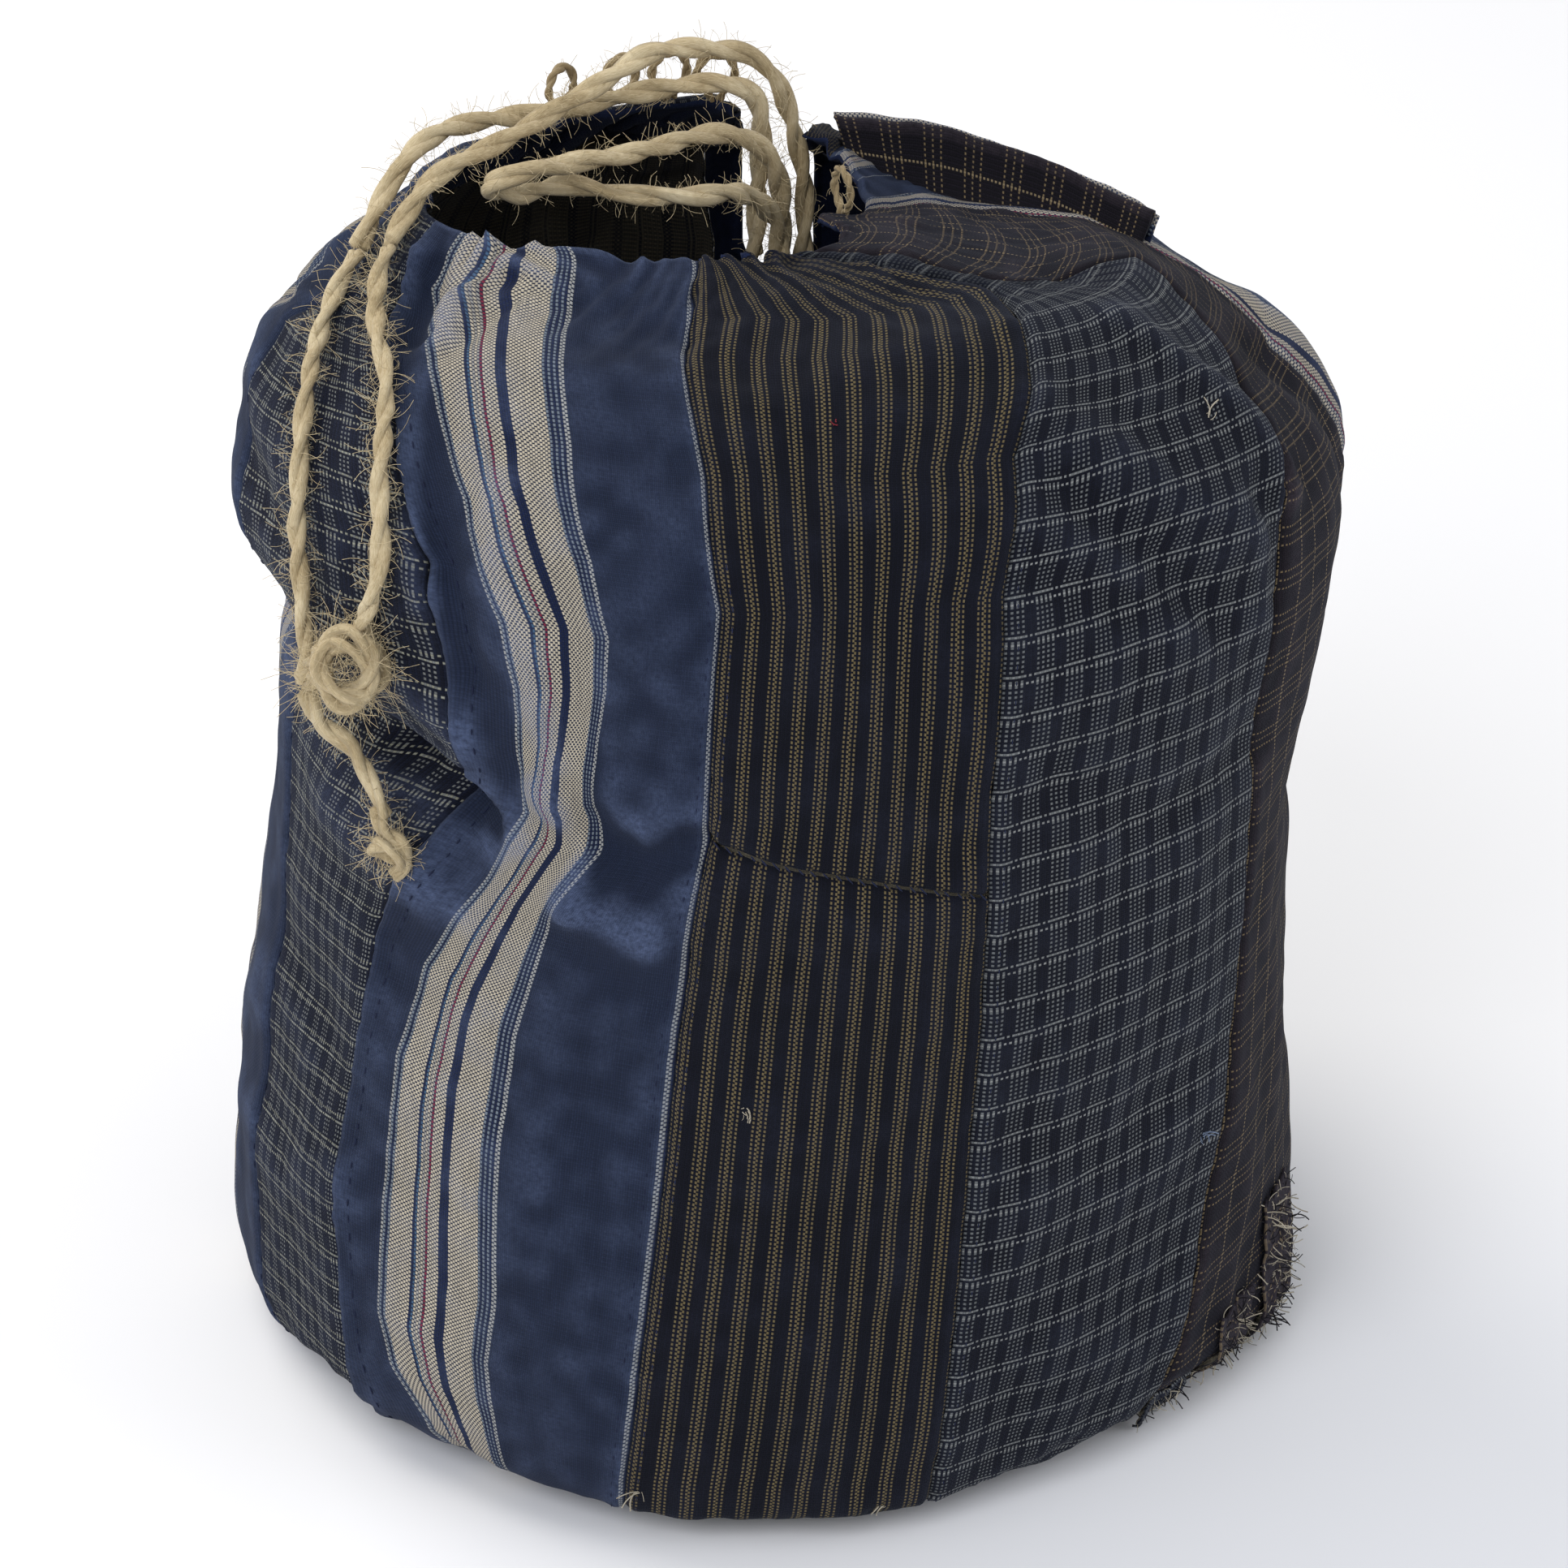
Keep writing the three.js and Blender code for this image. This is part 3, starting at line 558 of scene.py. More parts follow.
def plainWall(angle, level):        # the smooth wall of the CAD, in mm
    angle, level = np.broadcast_arrays(np.asarray(angle, float), np.asarray(level, float))
    i = np.clip(np.floor(level).astype(int), 0, rim - 1)
    turn = (angle / 45.0) % 8
    k = np.floor(turn).astype(int)
    t = turn - k

    def between(table):
        rows = []
        for step in (-1, 0, 1, 2):
            row = np.clip(i + step, 0, rim)
            rows.append(spline(table[row, (k - 1) % 8], table[row, k % 8], table[row, (k + 1) % 8],
                               table[row, (k + 2) % 8], t))
        return spline(*rows, level - i)

    r, z, a = between(sectionRadius), between(sectionHeight), np.radians(angle)
    return np.stack([r * np.sin(a), -r * np.cos(a), z], axis=-1)


# seams: compass angle at these levels, straight between them
seamLevels = [0, 2, 4, 5.5, 7, 8.5, 9.5, 10.5, 11, 11.5, 12]
seams = {
    "farLeft": [-64, -70, -72, -74, -76, -80, -84, -88, -90, -92, -94],
    "left": [-45, -50, -53, -50, -36, -40, -52, -68, -72, -76, -78],
    "frontLeft": [-17, -15, -12, -10, -7, -6, -9, -16, -18, -21, -24],
    "frontRight": [15, 16, 19, 21, 22, 25, 31, 46, 56, 36, 10],
    "right": [42, 46, 57, 60, 60, 64, 72, 92, 64, 45, 18],
    "farRight": [92, 94, 96, 98, 97, 92, 90, 115, 126, 128, 128],
    "backRight": [144, 144, 144, 144, 145, 147, 152, 160, 160, 160, 160],
    "back": [188, 188, 188, 188, 188, 188, 190, 192, 193, 194, 194],
    "backLeft": [231, 231, 231, 231, 231, 231, 231, 230, 230, 230, 230],
}


def seamAt(name, level):
    return np.interp(level, seamLevels, seams[name])


# folds of the cloth: points along each one (compass angle, level), how far it stands out in mm, half width in mm
folds = [
    # the waist, where the striped cloth doubles over itself on the left
    ([(-118, 7.2), (-92, 7.1), (-66, 6.95), (-50, 6.72), (-40, 6.6)], -9, 17),
    ([(-100, 6.9), (-66, 6.85), (-50, 6.7)], -5, 9),
    ([(-50, 6.7), (-40, 6.6), (-33, 6.62)], -8, 7),
    ([(-58, 7.45), (-44, 7.35), (-36, 7.2)], 4, 9),
    ([(-60, 6.1), (-48, 6.0), (-38, 5.95)], 5, 13),
    # dimple on the blue field, and the crease running down from it
    ([(-20, 6.7), (-14, 6.55), (-9, 6.75)], -6, 9),
    ([(-22, 6.25), (-14, 6.1)], 4, 9),
    ([(-25, 7.0), (-21, 6.6), (-22, 6.2)], 3.5, 5),
    # stripes buckle along the band
    ([(-34, 9.2), (-28, 8.0), (-25, 7.2), (-28, 6.6)], 4.5, 9),
    ([(-24, 8.6), (-21, 7.6), (-20, 6.9)], -3, 7),
    ([(-52, 10.1), (-45, 9.3), (-38, 8.4), (-34, 7.7)], -4, 7),
    ([(-60, 10.9), (-52, 10.0), (-44, 9.0), (-40, 8.2)], 4, 7),
    ([(-70, 11.3), (-62, 10.4)], -4, 6),
    # the shoulder on the right, pulled in under the plaid
    ([(38, 9.8), (48, 9.0), (58, 8.4)], 4, 10),
    ([(36, 9.2), (44, 8.5), (52, 7.7)], -3.5, 7),
    ([(28, 8.7), (38, 8.2), (54, 8.0)], -2.5, 8),
    ([(62, 10.3), (66, 9.4), (66, 8.6)], 4, 8),
    ([(60, 8.6), (62, 7.6), (61, 6.6)], -3, 7),
    ([(30, 7.0), (44, 6.5), (56, 6.7)], -2.2, 9),
    # soft dents of the front
    ([(2, 6.9), (10, 6.5), (18, 6.7)], -2.2, 9),
    ([(12, 8.9), (14, 7.9), (17, 7.1)], -2.0, 8),
    ([(-4, 9.7), (2, 9.0), (3, 8.0)], 2.0, 9),
    ([(3, 4.2), (10, 3.4), (9, 2.2)], -1.6, 12),
    ([(26, 4.6), (38, 4.2), (50, 4.5)], -1.8, 11),
    ([(30, 2.9), (42, 2.5), (54, 2.9)], 1.8, 12),
    # the left cheek
    ([(-84, 8.9), (-70, 8.3), (-58, 8.0)], -3, 9),
    ([(-92, 9.6), (-80, 9.2), (-66, 8.9)], 3, 9),
    ([(-74, 4.9), (-62, 4.6)], -3, 12),
    ([(-78, 3.4), (-64, 3.2), (-54, 3.6)], 2.5, 13),
    # right side and back
    ([(84, 9.6), (88, 8.4), (86, 7.0)], -4, 10),
    ([(100, 9.4), (98, 8.2)], 4, 12),
    ([(78, 5.8), (92, 5.4), (108, 5.9)], -3.5, 12),
    ([(118, 9.4), (124, 8.2), (122, 6.8)], -4.5, 12),
    ([(130, 4.6), (146, 4.0), (160, 4.4)], -3.5, 14),
    ([(160, 8.8), (158, 7.4), (164, 6.0)], 4, 12),
    ([(176, 7.6), (184, 6.4), (180, 5.0)], -4, 11),
    ([(196, 9.2), (204, 8.0), (202, 6.6)], 4, 11),
    ([(214, 5.8), (228, 5.2), (244, 5.8)], -4.5, 13),
    ([(246, 9.0), (250, 7.8), (246, 6.4)], -4.5, 12),
    ([(262, 4.4), (272, 3.6), (282, 4.2)], 3, 12),
    ([(232, 10.6), (236, 9.6), (234, 8.6)], -3.5, 8),
    ([(212, 10.8), (214, 9.8), (210, 8.8)], 3.5, 8),
    ([(150, 10.8), (146, 9.8), (148, 8.8)], -3.5, 8),
    ([(264, 10.8), (262, 9.8), (266, 9.0)], 3, 9),
    ([(278, 11.4), (276, 10.4)], -3, 7),
    ([(247, 11.6), (246, 10.8)], 2.5, 6),
    ([(222, 11.7), (222, 11.0)], -2.5, 6),
]
gathers = {"from": 10.6, "depth": 1.3, "count": 31}      # small pleats where the rim is drawn together

mapAngles = np.arange(0, 360, 0.5)
mapLevels = np.concatenate([np.linspace(0, 2, 24)[:-1], np.linspace(2, 8, 132)[:-1],
                            np.linspace(8, rim, 96)])


def wallNormals(points):            # of a map that closes round the compass: rows are levels
    around = np.roll(points, -1, axis=1) - np.roll(points, 1, axis=1)
    up = np.gradient(points, axis=0)
    n = np.cross(around, up)
    return n / np.maximum(np.linalg.norm(n, axis=-1, keepdims=True), 1e-9)


def distanceTo(points, line):
    best = np.full(points.shape[:-1], 1e9)
    for a, b in zip(line[:-1], line[1:]):
        ab = b - a
        t = np.clip(((points - a) @ ab) / (ab @ ab), 0, 1)
        best = np.minimum(best, np.linalg.norm(points - a - t[..., None] * ab, axis=-1))
    return best


def foldRelief(points):
    relief = np.zeros(points.shape[:-1])
    for line, height, width in folds:
        fine = []
        for (a0, l0), (a1, l1) in zip(line[:-1], line[1:]):
            t = np.linspace(0, 1, 5)[:-1]
            fine += list(plainWall(a0 + (a1 - a0) * t, l0 + (l1 - l0) * t))
        fine.append(plainWall(*line[-1]))
        d = distanceTo(points, np.array(fine))
        relief += height * np.exp(-(d / width) ** 2)
    return relief


mapBase = plainWall(mapAngles[None, :], mapLevels[:, None])
mapNormal = wallNormals(mapBase)
relief = foldRelief(mapBase)

settle = {"frames": 20, "pressure": 3.0, "slack": 0.03, "furthest": 9.0, "keep": 1.5, "columns": 180,
          "rows": 86}


def settleWall(start):
    rows, columns = start.shape[:2]
    faces = [(i * columns + j, i * columns + (j + 1) % columns, (i + 1) * columns + (j + 1) % columns,
              (i + 1) * columns + j) for i in range(rows - 1) for j in range(columns)]
    wall = newPiece("settlingWall", start.reshape(-1, 3) * mm, faces, [])
    held = wall.vertex_groups.new(name="held")
    for i in range(rows):
        grip = 1.0 if i < 2 or i >= rows - 4 else (0.35 if i >= rows - 9 else 0.0)
        if grip:
            held.add([i * columns + j for j in range(columns)], grip, "REPLACE")
    cloth = wall.modifiers.new("cloth", "CLOTH")
    s = cloth.settings
    s.quality = 6
    s.mass = 0.25
    s.tension_stiffness = s.compression_stiffness = 12
    s.shear_stiffness = 4
    s.bending_stiffness = 0.25
    s.air_damping = 2
    s.vertex_group_mass = "held"
    s.shrink_min = -settle["slack"]
    s.use_pressure = True
    s.uniform_pressure_force = settle["pressure"]
    s.effector_weights.gravity = 0
    cloth.point_cache.frame_start, cloth.point_cache.frame_end = 1, settle["frames"]
    for step in range(1, settle["frames"] + 1):
        scene.frame_set(step)
    found = wall.evaluated_get(bpy.context.evaluated_depsgraph_get())
    out = np.zeros(rows * columns * 3)
    found.data.vertices.foreach_get("co", out)
    bpy.data.objects.remove(wall)
    scene.frame_set(1)
    return out.reshape(rows, columns, 3) / mm


simLevels = np.interp(np.linspace(0, 1, settle["rows"]), [0, 0.05, 0.62, 1], [0, 1.2, 8, rim])
simAngles = np.arange(settle["columns"]) * 360 / settle["columns"]


def sampleMap(table, angle, level, angles=mapAngles, levels=mapLevels):
    angle, level = np.broadcast_arrays(np.asarray(angle, float), np.asarray(level, float))
    x = (angle % 360) / (angles[1] - angles[0])
    i = np.floor(x).astype(int)
    fx = (x - i)
    i0, i1 = i % len(angles), (i + 1) % len(angles)
    y = np.interp(level, levels, np.arange(len(levels)))
    j = np.clip(np.floor(y).astype(int), 0, len(levels) - 2)
    fy = y - j
    if table.ndim == 3:
        fx, fy = fx[..., None], fy[..., None]
    low = table[j, i0] * (1 - fx) + table[j, i1] * fx
    high = table[j + 1, i0] * (1 - fx) + table[j + 1, i1] * fx
    return low * (1 - fy) + high * fy


shift = np.zeros_like(mapBase)
print("settling the cloth")
first = plainWall(simAngles[None, :], simLevels[:, None])
begin = first + wallNormals(first) * foldRelief(first)[..., None] * 0.5
moved = settleWall(begin) - begin
size = np.linalg.norm(moved, axis=-1, keepdims=True)
moved *= np.minimum(1, settle["furthest"] / np.maximum(size, 1e-6))
print("  largest move", round(float(size.max()), 1), "mm, mean", round(float(size.mean()), 1))
broad = moved.copy()            # keep the wrinkles and drop the general swelling
for _ in range(40):
    broad = (broad + np.roll(broad, 1, 1) + np.roll(broad, -1, 1)
             + np.concatenate([broad[:1], broad[:-1]]) + np.concatenate([broad[1:], broad[-1:]])) / 5
moved = (moved - broad) * settle["keep"] + broad * 0.12
shift = sampleMap(moved, mapAngles[None, :], mapLevels[:, None], simAngles, simLevels)


def crumple(points, size, seed):
    scaled = points / size + seed
    return np.array([noise.noise(Vector(p)) for p in scaled.reshape(-1, 3)]).reshape(points.shape[:-1])


hang = mapBase * np.array([1.0, 1.0, 0.45])     # slack cloth hangs in long upright dents
relief += crumple(hang, 44, 3.1) * 2.4 + crumple(hang, 19, 7.7) * 1.5 + crumple(mapBase, 9, 1.7) * 0.5
pleat = np.clip((mapLevels - gathers["from"]) / (rim - gathers["from"]), 0, 1)[:, None] ** 1.5
angleNoise = crumple(mapBase, 30, 5.0) * 3
pleatWave = np.sin(np.radians(mapAngles)[None, :] * gathers["count"] + angleNoise * 5) * (0.4 + angleNoise)
relief += gathers["depth"] * pleat * pleatWave * np.clip(sampleMap(sectionRadius[-2:].mean(0)[None].repeat(2, 0),
          mapAngles[None, :], mapLevels[:, None] * 0, np.arange(8) * 45.0, np.array([0.0, 1.0])) / 100,
                                                         0.25, 1)
footFade = np.clip(mapLevels / 1.5, 0, 1)[:, None]
relief *= footFade
wallMap = mapBase + shift * footFade[..., None] + mapNormal * relief[..., None]
wallMap[..., 2] = np.maximum(wallMap[..., 2], 0.3)
mapNormal = wallNormals(wallMap)
blurred = relief.copy()
for _ in range(14):
    blurred = (blurred + np.roll(blurred, 1, 1) + np.roll(blurred, -1, 1)
               + np.vstack([blurred[:1], blurred[:-1]]) + np.vstack([blurred[1:], blurred[-1:]])) / 5
ridge = np.clip((relief - blurred) * 1.1 + 0.12, 0, 1)


def wallAt(angle, level, out=0.0):  # the settled wall, and points off it, in mm
    p = sampleMap(wallMap, angle, level)
    n = sampleMap(mapNormal, angle, level)
    n = n / np.linalg.norm(n, axis=-1, keepdims=True)
    return p + n * np.asarray(out)[..., None] if np.ndim(out) else p + n * out


# panels
print("panels")
sewing = {
    "cloth": 0.9,           # mm thick
    "cell": 1.7,            # mesh size
    "grooveDepth": 1.5,
    "grooveWidth": 1.5,
    "hemRadius": 1.7,
    "facingTo": 10.6,
    "pucker": 0.55,
}
# where the white lines of the striped cloth run: compass angle at a level
ribLeft = ([0, 2, 2.4, 2.8, 4.7, 5.4, 6.2, 6.8, 7.2, 7.7, 8.2, 9.1, 9.7, 11.2, 12],
           [-34, -38, -43, -45, -45, -42, -33, -27, -28, -28, -30, -38, -48, -70, -72])
ribRight = ([0, 2.2, 2.8, 3.3, 4.5, 5.2, 6.1, 6.6, 6.9, 7.4, 7.8, 8.2, 8.8, 9.6, 10.8, 12],
            [-27, -29, -30, -29, -29, -28, -24, -19, -20, -19, -18, -18, -21, -27, -39, -51])


def between(left, right, turnLeft=0, turnRight=0, width=100.0, start=0.0):
    def angles(level, u):
        a = seamAt(left, level) + turnLeft if isinstance(left, str) else np.full_like(level, left)
        b = seamAt(right, level) + turnRight if isinstance(right, str) else np.full_like(level, right)
        return a + (b - a) * (u - start) / width
    return angles


def stripeAngles(level, u):
    a, d = seamAt("left", level), seamAt("frontLeft", level)
    b, c = np.interp(level, *ribLeft), np.interp(level, *ribRight)
    out = np.zeros(np.broadcast(level, u).shape)
    marks = [0.0, 14.4, 49.8, 96.0]
    edges = [a, np.clip(b, a + 2, d - 6), np.clip(c, a + 6, d - 2), d]
    for k in range(3):
        t = np.clip((u - marks[k]) / (marks[k + 1] - marks[k]), 0, 1)
        out += (edges[k + 1] - edges[k]) * t
    return out + a


def shell(name, face, uv, slots, materials, thickness, wear, rearSlot=0):
    rows, columns = face.shape[:2]
    n = np.cross(np.gradient(face, axis=1), np.gradient(face, axis=0))
    n /= np.maximum(np.linalg.norm(n, axis=-1, keepdims=True), 1e-9)
    back = face - n * thickness
    count = rows * columns
    index = np.arange(count).reshape(rows, columns)
    a, b, c, d = index[:-1, :-1], index[:-1, 1:], index[1:, 1:], index[1:, :-1]
    front = np.stack([a, b, c, d], axis=-1).reshape(-1, 4)
    rear = np.stack([a, d, c, b], axis=-1).reshape(-1, 4) + count
    lines = [(index[0, :-1], index[0, 1:]), (index[-1, 1:], index[-1, :-1]),
             (index[1:, 0], index[:-1, 0]), (index[:-1, -1], index[1:, -1])]
    sides = np.vstack([np.stack([q, p, p + count, q + count], axis=-1) for p, q in lines])
    faces = np.vstack([front, rear, sides])
    rowSlots = np.repeat(slots, columns - 1)
    allSlots = np.concatenate([rowSlots, np.where(rowSlots == 0, rearSlot, rowSlots),
                               np.zeros(len(sides), dtype=int)])
    points = np.vstack([face.reshape(-1, 3), back.reshape(-1, 3)])
    uvs = np.vstack([uv.reshape(-1, 2)] * 2)
    return newPiece(name, points * mm, faces, materials, uvs, allSlots, np.concatenate([wear.ravel()] * 2))


def sewnPanel(name, spec):
    width, start = spec["width"], spec.get("start", 0.0)
    columns = max(12, int(width / sewing["cell"]))
    # columns crowd towards the seams, where the cloth turns in
    u = start + width * (0.5 - 0.5 * np.cos(np.linspace(0, math.pi, columns + 1)) * 1.0) * 0.35 \
        + width * np.linspace(0, 1, columns + 1) * 0.65
    low, high = spec.get("levels", (0.0, float(rim)))
    wholeTop = high == rim
    rowCount = int(abs(np.interp(high, mapLevels, np.arange(len(mapLevels)))
                       - np.interp(low, mapLevels, np.arange(len(mapLevels)))) * 1.02)
    place = np.linspace(np.interp(low, mapLevels, np.arange(len(mapLevels))),
                        np.interp(high, mapLevels, np.arange(len(mapLevels))), rowCount + 1)
    levels = np.interp(place, np.arange(len(mapLevels)), mapLevels)
    level = np.repeat(levels[:, None], columns + 1, axis=1)
    lean = spec.get("lean")
    if lean is not None:            # a cross seam that isn't quite level
        share = (levels - low) / (high - low)
        amount = lean[0] * (1 - share) + lean[1] * share
        level = level + amount[:, None] * ((u - start) / width - 0.5)[None, :]
    angle = spec["angles"](level, u[None, :])
    flat = wallAt(angle, level)
    v = np.concatenate([[0], np.cumsum(np.linalg.norm(np.diff(flat, axis=0), axis=-1).mean(axis=1))])
    v = v + spec.get("v", 0.0)
    stepAcross = np.linalg.norm(np.diff(flat, axis=1), axis=-1)
    fromLeft = np.concatenate([np.zeros((len(levels), 1)), np.cumsum(stepAcross, axis=1)], axis=1)
    fromRight = fromLeft[:, -1:] - fromLeft
    out = np.zeros_like(fromLeft)
    wear = sampleMap(ridge, angle, level)
    for distance, kind, seed in ((fromLeft, spec["edges"][0], 1.0), (fromRight, spec["edges"][1], 2.0)):
        pull = np.array([noise.noise(Vector((value / 5.5, seed * 9 + spec["seed"],
                                             0))) for value in v])[:, None]
        pull2 = np.array([noise.noise(Vector((value / 2.3, seed * 7 + spec["seed"],
                                              4))) for value in v])[:, None]
        near = np.exp(-distance / 4.5)
        out += sewing["pucker"] * (pull * 1.5 + pull2 * 0.5) * near * (1 if kind != "over" else 1.5)
        if kind == "over":          # lapped on top of its neighbour
            out += 1.5 * np.exp(-(distance / 5.5) ** 2) - 1.9 * np.exp(-(distance / 0.7) ** 2)
            wear = wear + 0.5 * np.exp(-(distance / 1.6) ** 2)
        elif kind == "under":
            out += -1.5 * np.exp(-(distance / 2.5) ** 2)
        else:
            out += 0.35 * np.exp(-((distance - 4) / 2.2) ** 2)
            out += -sewing["grooveDepth"] * np.exp(-(distance / sewing["grooveWidth"]) ** 2)
            wear = wear + 0.25 * np.exp(-((distance - 2.2) / 1.2) ** 2)
    if lean is not None:
        for edge, sign in ((0, lean[0]), (-1, lean[1])):
            if sign:
                gone = np.abs(v - v[edge])[:, None]
                out += -0.9 * np.exp(-(gone / 1.0) ** 2) + 0.3 * np.exp(-((gone - 3) / 2) ** 2)
    face = wallAt(angle, level, out)
    uv = np.stack([np.repeat(u[None, :], len(levels), axis=0),
                   np.repeat(v[:, None], columns + 1, axis=1)], axis=-1)
    slots = np.zeros(len(levels) - 1, dtype=int)
    materials = [clothMaterials[spec["cloth"]]]
    if wholeTop:                    # the top edge rolls over and the facing runs down inside
        top = face[-1]
        rise = face[-1] - face[-3]
        rise /= np.linalg.norm(rise, axis=-1, keepdims=True)
        outward = sampleMap(mapNormal, angle[-1], level[-1])
        outward -= rise * np.sum(outward * rise, axis=-1, keepdims=True)
        outward /= np.linalg.norm(outward, axis=-1, keepdims=True)
        r = sewing["hemRadius"]
        turns = np.radians([25, 55, 90, 125, 155, 180])
        roll = np.stack([top + rise * r * math.sin(t) * 1.3 - outward * r * (1 - math.cos(t)) for t in turns])
        downLevels = np.linspace(rim, sewing["facingTo"], 22)[1:]
        downAngle = spec["angles"](np.repeat(downLevels[:, None], columns + 1, axis=1), u[None, :])
        sag = np.interp(downLevels, [sewing["facingTo"], rim], [4.6, 2 * r])[:, None] * np.ones(columns + 1)
        down = wallAt(downAngle, np.repeat(downLevels[:, None], columns + 1, axis=1), -sag)
        face = np.concatenate([face, roll, down])
        more = len(roll) + len(down)
        vMore = v[-1] + np.concatenate([np.linspace(1, 5, len(roll)),
                                        5 + 2.0 * np.arange(1, len(down) + 1)])
        uvMore = np.stack([np.repeat(u[None, :], more, axis=0),
                           np.repeat(vMore[:, None], columns + 1, axis=1)],
                          axis=-1)
        uv = np.concatenate([uv, uvMore])
        wear = np.concatenate([wear, np.full((len(roll), columns + 1), 0.55),
                               np.full((len(down), columns + 1), 0.1)])
        slots = np.concatenate([slots, np.zeros(3, dtype=int), np.ones(more - 3, dtype=int)])
        inside = clothMaterials[spec.get("facing", "navyFacing")]
        materials.append(inside)
        materials.append(clothMaterials["greyReverse"])
    rearSlot = (2 if spec.get("deepGrey") else 1) if wholeTop else 0
    return shell(name, face, uv, slots, materials, sewing["cloth"], np.clip(wear, 0, 1), rearSlot)


slitHalf = lambda level: np.degrees(11.0 / np.maximum(np.interp(level, range(rim + 1),
                                                                sectionRadius[:, 4]), 20)) \
    * np.clip((level - 7.7) / 0.8, 0, 1) ** 0.7

panels = {
    "slubCheckPanel": {"cloth": "slubCheck", "width": 76.0,
                       "angles": between("farLeft", "left", width=76.0),
                       "edges": ("seam", "under"), "seed": 1},
    "indigoStripePanel": {"cloth": "indigoStripe", "width": 96.0, "angles": stripeAngles,
                          "edges": ("over", "seam"), "seed": 2},
    "pinstripeLowerPanel": {"cloth": "pinstripe", "width": 92.0,
                            "angles": between("frontLeft", "frontRight", width=92.0),
                            "levels": (0.0, 6.58), "lean": (0.0, -0.44), "edges": ("seam", "seam"),
                            "seed": 3},
    "pinstripeUpperPanel": {"cloth": "pinstripe", "width": 92.0,
                            "angles": between("frontLeft", "frontRight", width=92.0),
                            "levels": (6.60, 12.0), "lean": (-0.44, 0.0), "v": 231.0,
                            "edges": ("seam", "seam"), "seed": 4},
    "windowpanePanel": {"cloth": "windowpane", "width": 92.0,
                        "angles": between("frontRight", "right", width=92.0),
                        "edges": ("seam", "seam"), "seed": 5},
    "plaidPanel": {"cloth": "plaid", "width": 104.0, "angles": between("right", "farRight", width=104.0),
                   "edges": ("seam", "seam"), "seed": 6},
    "sideStripePanel": {"cloth": "indigoStripe", "width": 124.0, "start": 26.0,
                        "angles": between("farRight", "backRight", width=124.0, start=26.0),
                        "edges": ("seam", "seam"), "seed": 7},
    "backPinstripeRight": {"cloth": "pinstripe", "width": 96.0, "edges": ("seam", "seam"), "seed": 8,
                           "angles": lambda level, u: seamAt("backRight", level)
                           + (180 - slitHalf(level) - seamAt("backRight", level)) * u / 96.0},
    "backPinstripeLeft": {"cloth": "pinstripe", "width": 30.0, "start": 96.0, "edges": ("seam", "seam"),
                          "seed": 9,
                          "angles": lambda level, u: 180 + slitHalf(level)
                          + (seamAt("back", level) - 180 - slitHalf(level)) * (u - 96.0) / 30.0},
    "backWindowpanePanel": {"cloth": "windowpane", "width": 118.0,
                            "angles": between("back", "backLeft", width=118.0),
                            "edges": ("seam", "seam"), "seed": 10, "deepGrey": True},
    "leftStripePanel": {"cloth": "indigoStripe", "width": 160.0, "start": -78.0,
                        "angles": between("backLeft", "farLeft", 0, 360, width=160.0, start=-78.0),
                        "edges": ("seam", "seam"), "seed": 11, "deepGrey": True},
}
panelPieces = {name: sewnPanel(name, spec) for name, spec in panels.items()}


# bottom and lining
print("bottom and lining")


def disc(name, inset, height, thickness, material, rise=0.0):   # round cloth, wavy where it lies slack
    angles = np.arange(0, 360, 3.0)
    edge = plainWall(angles, 0.0)[:, :2]
    rings = np.linspace(0.0, 1.0, 30)[1:]
    size = np.linalg.norm(edge, axis=1, keepdims=True)
    edge = edge / size * (size - inset)
    points = [(0.0, 0.0, height)]
    for ring in rings:
        for x, y in edge * ring:
            lift = rise * (noise.noise(Vector((x / 34, y / 34, 2))) + 0.5 * noise.noise(Vector((x / 15,
                                                                                                y / 15,
                                                                                                5))))
            points.append((x, y, height + max(lift, -0.2) * min(1.0, (1 - ring) * 6)))
    points = np.array(points)
    count = len(angles)
    faces = [(0, 1 + k, 1 + (k + 1) % count) for k in range(count)]
    for r in range(len(rings) - 1):
        for k in range(count):
            a, b = 1 + r * count + k, 1 + r * count + (k + 1) % count
            faces.append((a, a + count, b + count, b))
    under = points - (0, 0, thickness)
    total = len(points)
    faces += [tuple(total + q for q in reversed(face)) for face in faces]
    last = 1 + (len(rings) - 1) * count
    faces += [(last + k, last + total + k, last + total + (k + 1) % count, last + (k + 1) % count)
              for k in range(count)]
    both = np.vstack([points, under])
    return newPiece(name, both * mm, faces, [material], both[:, :2], wear=np.full(len(both), 0.25))


baseCloth = disc("baseCloth", 4.2, 1.6, 1.4, clothMaterials["navyFacing"])
baseLining = disc("baseLining", 7.0, 3.4, 0.9, clothMaterials["cottonLining"], rise=2.2)


